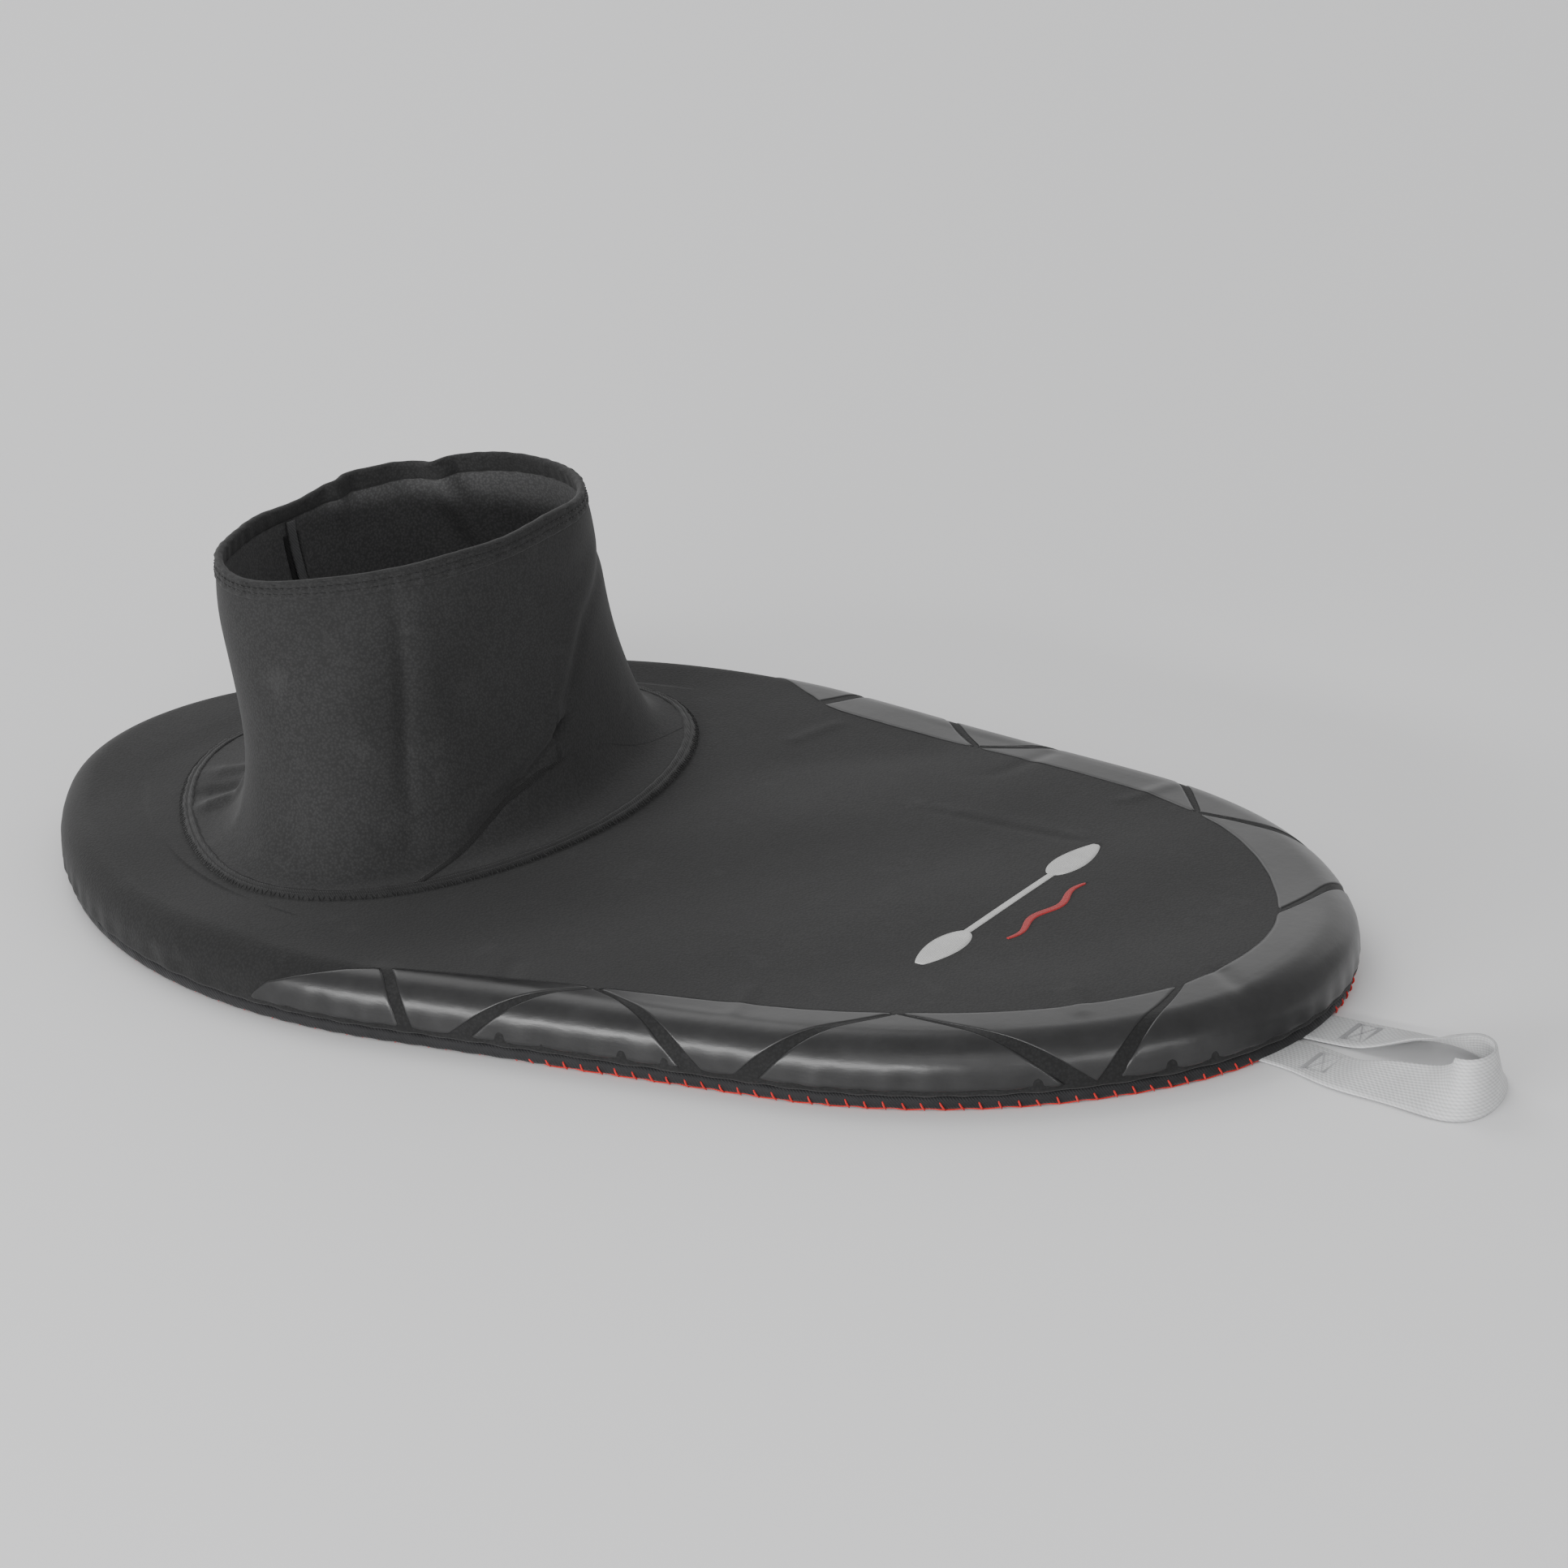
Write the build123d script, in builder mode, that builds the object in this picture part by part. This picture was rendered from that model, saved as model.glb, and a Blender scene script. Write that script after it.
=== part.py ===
"""Neoprene kayak spray skirt: deck with a stretched rim, waist tunnel and webbing grab loop.

Millimetres and degrees. +X points to the bow end, where the grab loop is, +Y to port and +Z up.
The origin is the middle of the deck's length, in the plane of the hem's underside.
"""
from build123d import *
import math
import os

os.makedirs("parts", exist_ok=True)

# ---- Deck outline: tangent arcs from the bow round to the stern, mirrored about the X axis ----
bow_x = 440.0
deck_arcs = [(180.0, 36.5), (302.0, 45.0), (370.0, 69.0)]  # radius and turn of each
side_after_arc = 1  # the straight side follows this arc
side_length = 250.0

# ---- Deck section ----
deck_height = 42.0
deck_skin = 4.0
rim_radius = 20.0
tuck_radius = 2.5
hem_height = 10.0
hem_width = 13.0
hem_inset = 3.0
fold_gap = 0.6

# ---- Shock cord inside the hem ----
cord_diameter = 5.0
cord_clearance = 0.2
cord_z = 6.0
cord_inset = hem_inset + hem_width / 2
cord_bore_radius = cord_diameter / 2 + cord_clearance
splice_length = 34.0
splice_radius = 3.5

# ---- Rubber coating along the rim, and the bare stripes that part it ----
coating_thickness = 0.8
coating_inner_inset = 40.0
coating_bottom = 13.0
coating_end = ((-84.0, 215.0), (-112.0, 285.0))
stripe_width = 9.0
stripes = [
    ((-40.0, 205.0), (-20.0, 275.0)),
    ((92.0, 200.0), (2.0, 264.0)),
    ((88.0, 200.0), (172.0, 248.0)),
    ((266.0, 160.0), (176.0, 246.0)),
    ((250.0, 168.0), (382.0, 150.0)),
    ((379.0, 45.0), (391.0, 150.0)),
]

# ---- Waist tunnel: three egg-shaped levels, each (bow end, arcs) ----
tunnel_centre_x = -197.0
flange_level = (-51.5, [(264.0, 35.0), (79.0, 62.0)])
flex_level = (-80.0, [(209.0, 34.5), (76.0, 68.6)])
top_level = (-98.3, [(160.0, 38.6), (81.0, 99.0)])
tunnel_wall = 3.0
flange_width = 8.0
flange_height = 4.0
flange_top = deck_height + flange_height
flex_top = 90.0
tube_top = 217.0
top_tilt = 4.5
top_hem_height = 9.0
top_hem_wall = 2.6
seam_tape_width = 10.0
seam_tape_thickness = 1.0

# ---- Steep seam between the flex zone and the gusset let into its front ----
seam_foot_x = -97.0
seam_head_x = -80.0
seam_head_z = 88.0
gusset_tape_width = 8.0
gusset_tape_thickness = 0.7

# ---- Closing seam inside the tube, and the hanging tab over it ----
back_seam_x = -290.0
back_seam_y = 10.0
back_seam_reach = 90.0
back_tape_thickness = 1.0
back_tape_width = 14.0
back_tape_top = 200.0
tab_thickness = 1.4
tab_width = 9.0
tab_bottom = 142.0
tab_drop = 4.0

# ---- Webbing grab loop ----
webbing_width = 36.0
webbing_thickness = 2.2
webbing_bottom = 0.4
webbing_top = webbing_bottom + webbing_thickness
loop_centre_y = -14.0
leg_gap = 1.5
leg_offset = (webbing_width + leg_gap) / 2
root_start_x = 400.0
hinge_x = 451.0
hinge_gap = 1.8
notch_length = 60.0
notch_width = 2 * webbing_width + leg_gap + 1.0
notch_height = webbing_top + 0.4
anchor_thickness = 1.8
bar_tack_x = 463.0
bar_tack_length = 17.0
bar_tack_width = 24.0

# The loop's centreline: x, y from the loop's middle, and the twist from flat to on edge
loop_stations = [
    (hinge_x + 0.3, -leg_offset, 0.0),
    (474.0, -leg_offset, 0.0),
    (488.0, -26.0, 18.0),
    (504.0, -36.0, 44.0),
    (522.0, -46.0, 66.0),
    (542.0, -54.0, 80.0),
    (564.0, -57.0, 88.0),
    (584.0, -50.0, 90.0),
    (595.0, -34.0, 90.0),
    (596.0, -14.0, 90.0),
    (585.0, 5.0, 88.0),
    (565.0, 15.0, 75.0),
    (541.0, 18.5, 52.0),
    (518.0, 18.5, 30.0),
    (494.0, leg_offset, 11.0),
    (474.0, leg_offset, 0.0),
    (hinge_x + 0.3, leg_offset, 0.0),
]

# ---- Thread and print ----
thread = 0.9
red_stitch_pitch = 11.0
red_stitch_bottom = 0.4
red_stitch_height = 6.0
seam_stitch_pitch = 8.0
seam_stitch_length = 8.0
zigzag_angle = 28.0
hem_stitch_pitch = 6.0
hem_stitch_length = 4.0
upper_row_drop = 3.0
lower_row_drop = 6.5
print_thickness = 0.4
graphic_x = 232.0
graphic_half_length = 100.0
paddle_shaft = 5.0
blade_length = 52.0
blade_width = 21.0
wave_x = 258.0
wave_rise = 3.0
wave_half_length = 45.0
wave_line_width = 2.4


def toward(angle):
    """A unit vector in the XY plane."""
    return Vector(math.cos(math.radians(angle)), math.sin(math.radians(angle)))


def half_egg(nose_x, arcs, straight=0.0, straight_after=-1):
    """Half an egg from its nose on, as (kind, centre, radius, angle, size); the tail arc closes it."""
    pieces = []
    centre = Vector(nose_x - arcs[0][0], 0)
    angle = 0.0
    for index, (radius, turn) in enumerate(arcs):
        pieces.append(("arc", centre, radius, angle, turn))
        angle += turn
        if index == straight_after:
            pieces.append(("line", centre, radius, angle, straight))
            centre = centre + toward(angle + 90) * straight
        if index + 1 < len(arcs):
            centre = centre + toward(angle) * (radius - arcs[index + 1][0])
    last_radius = arcs[-1][0]
    tail_radius = last_radius + centre.Y / math.sin(math.radians(angle))
    tail_centre = centre + toward(angle) * (last_radius - tail_radius)
    pieces.append(("arc", tail_centre, tail_radius, angle, 180.0 - angle))
    return pieces


deck_half = half_egg(bow_x, deck_arcs, side_length, side_after_arc)


def draw_egg(pieces, inset=0.0):
    """Draw a closed egg inside a BuildLine, moved inward by inset."""
    for kind, centre, radius, angle, size in pieces:
        if kind == "arc":
            CenterArc(centre, radius - inset, angle, size)
        else:
            start = centre + toward(angle) * (radius - inset)
            Line(start, start + toward(angle + 90) * size)
    mirror(about=Plane.XZ)


def egg_face(pieces, plane, inset=0.0, hole_inset=None):
    """A filled egg on a plane, or a ring if it has a hole."""
    with BuildSketch(plane) as face:
        with BuildLine():
            draw_egg(pieces, inset)
        make_face()
        if hole_inset is not None:
            with BuildLine():
                draw_egg(pieces, hole_inset)
            make_face(mode=Mode.SUBTRACT)
    return face.sketch


def centred_egg(level):
    """A tunnel level's half egg with X measured from the tunnel's centre."""
    nose_x, arcs = level
    return half_egg(nose_x - tunnel_centre_x, arcs)


def level_plane(height, tilt=0.0):
    """A plane across the tunnel, tipped about Y so that its bow side is higher."""
    rise = math.radians(tilt)
    return Plane(
        origin=(tunnel_centre_x, 0, height),
        x_dir=(math.cos(rise), 0, math.sin(rise)),
        z_dir=(-math.sin(rise), 0, math.cos(rise)),
    )


def level_face(level, height, inset, tilt=0.0):
    """One level of the tunnel as a face, inset from its outside."""
    return egg_face(centred_egg(level), level_plane(height, tilt), inset)


def egg_stations(pieces, inset, pitch):
    """Evenly spaced points on an egg, each with the angle that points outward."""
    with BuildLine() as loop:
        draw_egg(pieces, inset)
    path = loop.wires()[0]
    middle = path.bounding_box().center()
    count = round(path.length / pitch)
    stations = []
    for index in range(count):
        point = path.position_at(index / count)
        heading = path.tangent_at(index / count)
        outward = Vector(heading.Y, -heading.X)
        if outward.dot(point - middle) < 0:
            outward = -outward
        stations.append((point, math.degrees(math.atan2(outward.Y, outward.X))))
    return stations


def bar_along_hem(radius):
    """A round bar all the way along the middle of the hem."""
    with BuildPart() as bar:
        with BuildLine() as route:
            draw_egg(deck_half, cord_inset)
        path = route.wires()[0]
        with BuildSketch(Plane(origin=path.position_at(0), x_dir=(0, 0, 1), z_dir=path.tangent_at(0))):
            Circle(radius)
        sweep(path=path)
    return bar.part.moved(Location((0, 0, cord_z)))


def bar_at_stern(radius):
    """A short round bar along the middle of the hem's tail arc."""
    centre, tail_radius = deck_half[-1][1], deck_half[-1][2]
    middle_radius = tail_radius - cord_inset
    turn = math.degrees(splice_length / middle_radius)
    start = toward(180.0 - turn / 2)
    with BuildPart() as bar:
        with BuildSketch(Plane(origin=(centre.X, 0, cord_z), x_dir=start, z_dir=(start.Y, -start.X, 0))):
            with Locations((middle_radius, 0)):
                Circle(radius)
        revolve(axis=Axis((centre.X, 0, 0), (0, 0, 1)), revolution_arc=turn)
    return bar.part


def webbing_planes():
    """A plane across the webbing at each station of the loop, its Y along the webbing's width."""
    planes = []
    for index, (x, y, twist) in enumerate(loop_stations):
        before = loop_stations[max(index - 1, 0)]
        after = loop_stations[min(index + 1, len(loop_stations) - 1)]
        heading = Vector(after[0] - before[0], after[1] - before[1]).normalized()
        rise = math.radians(twist)
        inward = Vector(-heading.Y, heading.X)
        across = inward * math.cos(rise) + Vector(0, 0, math.sin(rise))
        height = (
            webbing_bottom
            + webbing_thickness / 2 * math.cos(rise)
            + webbing_width / 2 * math.sin(rise)
        )
        planes.append(
            Plane(
                origin=(x, loop_centre_y + y, height),
                x_dir=across.cross(heading),
                z_dir=heading,
            )
        )
    return planes


def write(part, name):
    """Label a finished piece and write it."""
    part.label = name
    export_step(part, f"parts/{name}.step")


flange_half = half_egg(*flange_level)
flex_half = half_egg(*flex_level)
top_half = half_egg(*top_level)

# ---- Deck panel: one sheet of neoprene, formed over the rim and open below ----
with BuildPart() as rim_hollow:
    extrude(
        egg_face(deck_half, Plane.XY.offset(hem_height), deck_skin),
        amount=deck_height - deck_skin - hem_height,
    )
    fillet(rim_hollow.faces().sort_by(Axis.Z)[-1].edges(), rim_radius - deck_skin)

with BuildPart() as deck_block:
    extrude(egg_face(deck_half, Plane.XY.offset(hem_height)), amount=deck_height - hem_height)
    fillet(deck_block.faces().sort_by(Axis.Z)[-1].edges(), rim_radius)
    fillet(deck_block.faces().sort_by(Axis.Z)[0].edges(), tuck_radius)

with BuildPart() as deck_panel:
    add(deck_block.part)
    add(rim_hollow.part, mode=Mode.SUBTRACT)
    extrude(
        egg_face(flange_half, Plane.XY.offset(hem_height), flange_width),
        amount=deck_height,
        mode=Mode.SUBTRACT,
    )
write(deck_panel.part, "deck_panel")

# ---- Shock cord, and the sleeve that joins its ends at the stern ----
with BuildPart() as shock_cord:
    add(bar_along_hem(cord_diameter / 2))
write(shock_cord.part, "shock_cord")

cord_bore = bar_along_hem(cord_bore_radius)
with BuildPart() as cord_splice:
    add(bar_at_stern(splice_radius))
    add(cord_bore, mode=Mode.SUBTRACT)
write(cord_splice.part, "cord_splice")

# ---- Hem casing: a folded strip round the cord, open along its inner edge where the fold is sewn ----
with BuildPart() as hem_casing:
    extrude(egg_face(deck_half, Plane.XY, hem_inset, hem_inset + hem_width), amount=hem_height)
    add(cord_bore, mode=Mode.SUBTRACT)
    add(bar_at_stern(splice_radius + cord_clearance), mode=Mode.SUBTRACT)
    extrude(
        egg_face(deck_half, Plane.XY.offset(cord_z), cord_inset, hem_inset + hem_width + 1.0),
        amount=fold_gap / 2,
        both=True,
        mode=Mode.SUBTRACT,
    )
    with BuildSketch(Plane.XY):
        with Locations((bow_x - notch_length / 2, loop_centre_y)):
            Rectangle(notch_length, notch_width)
    extrude(amount=notch_height, mode=Mode.SUBTRACT)
write(hem_casing.part, "hem_casing")

# ---- Red whip stitches down the outside of the hem ----
with BuildPart() as hem_stitching:
    with BuildSketch(Plane.XY.offset(red_stitch_bottom)):
        for point, outward in egg_stations(deck_half, hem_inset - thread / 2, red_stitch_pitch):
            in_notch = point.X > 0 and abs(point.Y - loop_centre_y) < notch_width / 2 + thread
            if not in_notch:
                with Locations(Location((point.X, point.Y, 0), (0, 0, outward))):
                    Rectangle(thread, thread)
    extrude(amount=red_stitch_height)
write(hem_stitching.part, "hem_stitching")

# ---- Rubber coating: one band round the rim, parted into patches by bare stripes ----
with BuildPart() as coating_band:
    extrude(
        egg_face(deck_half, Plane.XY.offset(coating_bottom), -coating_thickness),
        amount=deck_height + coating_thickness - coating_bottom,
    )
    fillet(coating_band.faces().sort_by(Axis.Z)[-1].edges(), rim_radius + coating_thickness)
    add(deck_block.part, mode=Mode.SUBTRACT)
    extrude(
        egg_face(deck_half, Plane.XY, coating_inner_inset),
        amount=2 * deck_height,
        mode=Mode.SUBTRACT,
    )
    with BuildSketch(Plane.XY):
        (inner_x, inner_y), (outer_x, outer_y) = coating_end
        Polygon(
            (inner_x, inner_y),
            (outer_x, outer_y),
            (-2 * bow_x, outer_y),
            (-2 * bow_x, -outer_y),
            (outer_x, -outer_y),
            (inner_x, -inner_y),
            align=None,
        )
        for start, end in stripes:
            for side in (1, -1):
                a = Vector(start[0], side * start[1])
                b = Vector(end[0], side * end[1])
                middle = (a + b) / 2
                turn = math.degrees(math.atan2(b.Y - a.Y, b.X - a.X))
                with Locations(Location((middle.X, middle.Y, 0), (0, 0, turn))):
                    Rectangle((b - a).length, stripe_width)
    extrude(amount=2 * deck_height, mode=Mode.SUBTRACT)

patches = sorted(coating_band.solids(), key=lambda solid: -solid.center().X)
bow_patch = patches[0]
side_names = (("left", 1), ("right", -1))
with BuildPart() as coating_bow:
    add(bow_patch)
write(coating_bow.part, "coating_bow")
for side_name, side in side_names:
    side_patches = [patch for patch in patches[1:] if patch.center().Y * side > 0]
    for number, patch in enumerate(side_patches, start=1):
        with BuildPart() as coating_patch:
            add(patch)
        write(coating_patch.part, f"coating_{side_name}_{number}")

# ---- Printed graphic on the deck: a double-bladed paddle over a wave ----
with BuildPart() as graphic_paddle:
    with BuildSketch(Plane.XY.offset(deck_height)):
        with Locations((graphic_x, 0)):
            Rectangle(paddle_shaft, 2 * (graphic_half_length - blade_length / 2))
        with Locations(
            (graphic_x, graphic_half_length - blade_length / 2),
            (graphic_x, -graphic_half_length + blade_length / 2),
        ):
            Ellipse(blade_width / 2, blade_length / 2)
    extrude(amount=print_thickness)
write(graphic_paddle.part, "graphic_paddle")

with BuildPart() as graphic_wave:
    crests = [
        (wave_x + wave_rise * (-1) ** index, -wave_half_length + index * wave_half_length / 2)
        for index in range(5)
    ]
    with BuildSketch(Plane.XY.offset(deck_height)):
        with BuildLine() as wave_line:
            Spline(crests)
        trace(wave_line.line, line_width=wave_line_width)
    extrude(amount=print_thickness)
write(graphic_wave.part, "graphic_wave")

# ---- Waist tunnel's foot: the flange sewn to the deck, with tape above and below the seam ----
with BuildPart() as tunnel_flange:
    extrude(egg_face(flange_half, Plane.XY.offset(deck_height), 0.0, flange_width), amount=flange_height)
write(tunnel_flange.part, "tunnel_flange")

with BuildPart() as base_seam_tape:
    extrude(
        egg_face(flange_half, Plane.XY.offset(deck_height), -seam_tape_width, 0.0),
        amount=seam_tape_thickness,
    )
write(base_seam_tape.part, "base_seam_tape")

with BuildPart() as base_seam_inner_tape:
    extrude(
        egg_face(
            flange_half, Plane.XY.offset(deck_height - deck_skin), -seam_tape_width, flange_width
        ),
        amount=-seam_tape_thickness,
    )
write(base_seam_inner_tape.part, "base_seam_inner_tape")

with BuildPart() as base_seam_stitching:
    with BuildSketch(Plane.XY.offset(deck_height + seam_tape_thickness)):
        stations = egg_stations(flange_half, -seam_tape_width / 2, seam_stitch_pitch)
        for index, (point, outward) in enumerate(stations):
            lean = zigzag_angle * (-1) ** index
            with Locations(Location((point.X, point.Y, 0), (0, 0, outward + lean))):
                Rectangle(seam_stitch_length, thread)
    extrude(amount=thread / 2)
write(base_seam_stitching.part, "base_seam_stitching")



def cloth_shell(lower, upper, outer_inset, inner_inset):
    """The cloth between two levels, from one inset to another, as a private part."""
    with BuildPart() as shell:
        for inset, mode in ((outer_inset, Mode.ADD), (inner_inset, Mode.SUBTRACT)):
            (low_level, low_z), (high_level, high_z, tilt) = lower, upper
            loft([level_face(low_level, low_z, inset), level_face(high_level, high_z, inset, tilt)], mode=mode)
    return shell.part


flex_span = ((flange_level, flange_top), (flex_level, flex_top, 0.0))
tube_span = ((flex_level, flex_top), (top_level, tube_top, top_tilt))

# ---- Flex zone: the flared cloth between the flange and the tube, with a gusset let into its front ----
seam_run = Vector(seam_head_x - seam_foot_x, 0, seam_head_z - deck_height)
seam_plane = Plane(
    origin=(seam_foot_x, 0, deck_height),
    x_dir=(0, 1, 0),
    z_dir=(seam_run.Z, 0, -seam_run.X),
)
flex_cloth = cloth_shell(*flex_span, 0.0, tunnel_wall)
with BuildPart() as tunnel_flex:
    add(flex_cloth)
    split(bisect_by=seam_plane, keep=Keep.BOTTOM)
write(tunnel_flex.part, "tunnel_flex")
with BuildPart() as front_gusset:
    add(flex_cloth)
    split(bisect_by=seam_plane, keep=Keep.TOP)
write(front_gusset.part, "front_gusset")

with BuildPart() as gusset_seam_tape:
    add(cloth_shell(*flex_span, -gusset_tape_thickness, 0.0))
    with BuildSketch(seam_plane):
        Rectangle(2 * bow_x, 2 * bow_x)
    extrude(amount=gusset_tape_width / 2, both=True, mode=Mode.INTERSECT)
write(gusset_seam_tape.part, "gusset_seam_tape")

# ---- Tube: one panel that leans, closed by a seam down the inside of its stern wall ----
with BuildPart() as tunnel_tube:
    add(cloth_shell(*tube_span, 0.0, tunnel_wall))
write(tunnel_tube.part, "tunnel_tube")

# ---- Tape over the tube's inner closing seam, and the hanging tab sewn over it ----
inner_seams = (
    ("back_seam_tape", tunnel_wall, back_tape_thickness, back_tape_width, flex_top, back_tape_top),
    (
        "hang_tab",
        tunnel_wall + back_tape_thickness,
        tab_thickness,
        tab_width,
        tab_bottom,
        back_tape_top - tab_drop,
    ),
)
for name, inset, thickness, width, bottom, top in inner_seams:
    with BuildPart() as inner_strip:
        add(cloth_shell(*tube_span, inset, inset + thickness))
        with BuildSketch(Plane.XY.offset(bottom)):
            with Locations((back_seam_x, back_seam_y)):
                Rectangle(back_seam_reach, width)
        extrude(amount=top - bottom, mode=Mode.INTERSECT)
    write(inner_strip.part, name)

# ---- Top hem: the cloth's turned edge, sewn with two rows of stitches ----
with BuildPart() as tunnel_top_hem:
    top_plane = level_plane(tube_top, top_tilt)
    extrude(
        egg_face(
            centred_egg(top_level),
            top_plane.offset(-top_hem_height),
            -top_hem_wall,
            tunnel_wall + top_hem_wall,
        ),
        amount=top_hem_height + top_hem_wall,
    )
    add(tunnel_tube.part, mode=Mode.SUBTRACT)
write(tunnel_top_hem.part, "tunnel_top_hem")

for name, drop in (("top_stitching_upper", upper_row_drop), ("top_stitching_lower", lower_row_drop)):
    with BuildPart() as stitch_row:
        with BuildSketch(top_plane.offset(-drop)):
            for point, outward in egg_stations(
                centred_egg(top_level), -top_hem_wall - thread / 4, hem_stitch_pitch
            ):
                with Locations(Location((point.X, point.Y, 0), (0, 0, outward))):
                    Rectangle(thread / 2, hem_stitch_length)
        extrude(amount=thread)
    write(stitch_row.part, name)

# ---- Grab loop: two sewn roots in the hem's notch, and the loop that lifts about their edge ----
for name, side in (("loop_root_left", 1), ("loop_root_right", -1)):
    with BuildPart() as loop_root:
        with BuildSketch(Plane.XY.offset(webbing_bottom)):
            with Locations(((root_start_x + hinge_x - hinge_gap) / 2, loop_centre_y + side * leg_offset)):
                Rectangle(hinge_x - hinge_gap - root_start_x, webbing_width)
        extrude(amount=webbing_thickness)
    write(loop_root.part, name)

with BuildPart() as loop_anchor_patch:
    extrude(
        egg_face(
            deck_half,
            Plane.XY.offset(webbing_top),
            hem_inset + hem_width,
            bow_x - root_start_x + 2.0,
        ),
        amount=anchor_thickness,
    )
    with BuildSketch(Plane.XY):
        with Locations((bow_x, loop_centre_y)):
            Rectangle(2 * bow_x - 2 * root_start_x + 20.0, notch_width + 8.0)
    extrude(amount=deck_height, mode=Mode.INTERSECT)
write(loop_anchor_patch.part, "loop_anchor_patch")

with BuildPart() as grab_loop_webbing:
    for plane in webbing_planes():
        with BuildSketch(plane):
            Rectangle(webbing_thickness, webbing_width)
    loft(ruled=True)
write(grab_loop_webbing.part, "grab_loop_webbing")

for name, side in (("bar_tack_left", 1), ("bar_tack_right", -1)):
    with BuildPart() as bar_tack:
        with BuildSketch(Plane.XY.offset(webbing_top)):
            with Locations((bar_tack_x, loop_centre_y + side * leg_offset)):
                Rectangle(bar_tack_length, bar_tack_width)
                Rectangle(bar_tack_length - 4 * thread, bar_tack_width - 4 * thread, mode=Mode.SUBTRACT)
        extrude(amount=thread / 2)
    write(bar_tack.part, name)
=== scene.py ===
"""Looks of the kayak spray skirt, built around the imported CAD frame. Metres, +X to the bow, +Z up."""

import math

import bpy
import bmesh
import numpy as np
from mathutils import Matrix, Vector


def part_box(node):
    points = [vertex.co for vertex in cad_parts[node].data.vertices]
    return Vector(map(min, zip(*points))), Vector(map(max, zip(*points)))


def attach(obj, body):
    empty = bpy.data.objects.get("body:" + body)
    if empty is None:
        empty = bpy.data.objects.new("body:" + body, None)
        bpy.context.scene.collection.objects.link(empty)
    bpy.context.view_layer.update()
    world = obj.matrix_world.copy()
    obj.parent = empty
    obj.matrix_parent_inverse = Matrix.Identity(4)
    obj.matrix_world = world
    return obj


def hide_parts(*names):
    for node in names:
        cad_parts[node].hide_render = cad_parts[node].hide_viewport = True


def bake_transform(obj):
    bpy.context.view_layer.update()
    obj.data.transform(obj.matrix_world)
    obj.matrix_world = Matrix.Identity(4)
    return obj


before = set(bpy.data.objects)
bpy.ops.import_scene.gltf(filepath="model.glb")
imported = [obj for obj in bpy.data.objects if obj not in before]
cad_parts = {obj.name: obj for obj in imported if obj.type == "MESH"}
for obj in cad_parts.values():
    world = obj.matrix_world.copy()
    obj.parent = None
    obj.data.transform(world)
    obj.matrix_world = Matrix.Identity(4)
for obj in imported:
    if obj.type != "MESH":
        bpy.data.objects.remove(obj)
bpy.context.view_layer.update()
FINE = 1.0

# ---------------------------------------------------------------- sizes from the CAD frame
deck_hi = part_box("deck_panel")[1]
flange_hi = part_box("tunnel_flange")[1]
top_lo, top_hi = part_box("tunnel_top_hem")
hem_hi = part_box("hem_casing")[1]
BOW_X = deck_hi.x
DECK_Z = deck_hi.z
ARCS = [(0.180, 36.5), (0.302, 45.0), (0.370, 69.0)]  # radius and turn of the outline's arcs from the bow
SIDE = 0.250  # straight run between the second arc and the third
RIM_R, TUCK_R, SKIN = 0.020, 0.0025, 0.004  # rim's round, turn-in at its foot, deck cloth
HEM_Z = hem_hi.z
HEM_INSET, HEM_W = 0.003, 0.013
TUBE_X = (top_lo.x + top_hi.x) / 2


# ---------------------------------------------------------------- outline of the deck
def outline_table():
    """Points, outward normal angles and shares of the way round, from the bow by port and back."""
    p, h = np.array([BOW_X, 0.0]), 90.0
    pts, ang = [], []

    def arc(p, h, r, turn):
        c = p + r * np.array([math.cos(math.radians(h + 90)), math.sin(math.radians(h + 90))])
        for a in np.linspace(0, turn, int(turn * 4)):
            n = math.radians(h - 90 + a)
            pts.append(c + r * np.array([math.cos(n), math.sin(n)]))
            ang.append(n)
        return pts[-1], h + turn

    for i, (r, turn) in enumerate(ARCS):
        p, h = arc(p, h, r, turn)
        if i == 1:
            for s in np.linspace(0, SIDE, 120)[1:]:
                d = np.array([math.cos(math.radians(h)), math.sin(math.radians(h))])
                pts.append(p + s * d)
                ang.append(math.radians(h - 90))
            p = pts[-1]
    tail = p[1] / math.sin(math.radians(h - 90))
    arc(p, h, tail, 270 - h)
    half, turn = np.array(pts), np.array(ang)
    full = np.concatenate([half, (half * [1, -1])[::-1][1:]])
    turns = np.concatenate([turn, (2 * math.pi - turn)[::-1][1:]])
    length = np.concatenate([[0], np.cumsum(np.linalg.norm(np.diff(full, axis=0), axis=1))])
    keep = np.concatenate([[True], np.diff(length) > 1e-7])
    return full[keep], turns[keep], length[keep] / length[-1], length[-1]


RING, TURN, SHARE, AROUND = outline_table()


def edge(u):
    """Plan point and outward unit normal of the deck's outline at share u of the way round."""
    w = np.mod(u, 1.0)
    x, y, a = (np.interp(w, SHARE, t) for t in (RING[:, 0], RING[:, 1], TURN))
    return np.stack([x, y], -1), np.stack([np.cos(a), np.sin(a)], -1)


SIDE_H = DECK_Z - RIM_R - HEM_Z - TUCK_R  # upright part of the rim's side
TUCK_L = TUCK_R * math.pi / 2  # length of the turn-in, below the foot
TOP_L = SIDE_H + RIM_R * math.pi / 2  # where the section reaches the flat top


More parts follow.
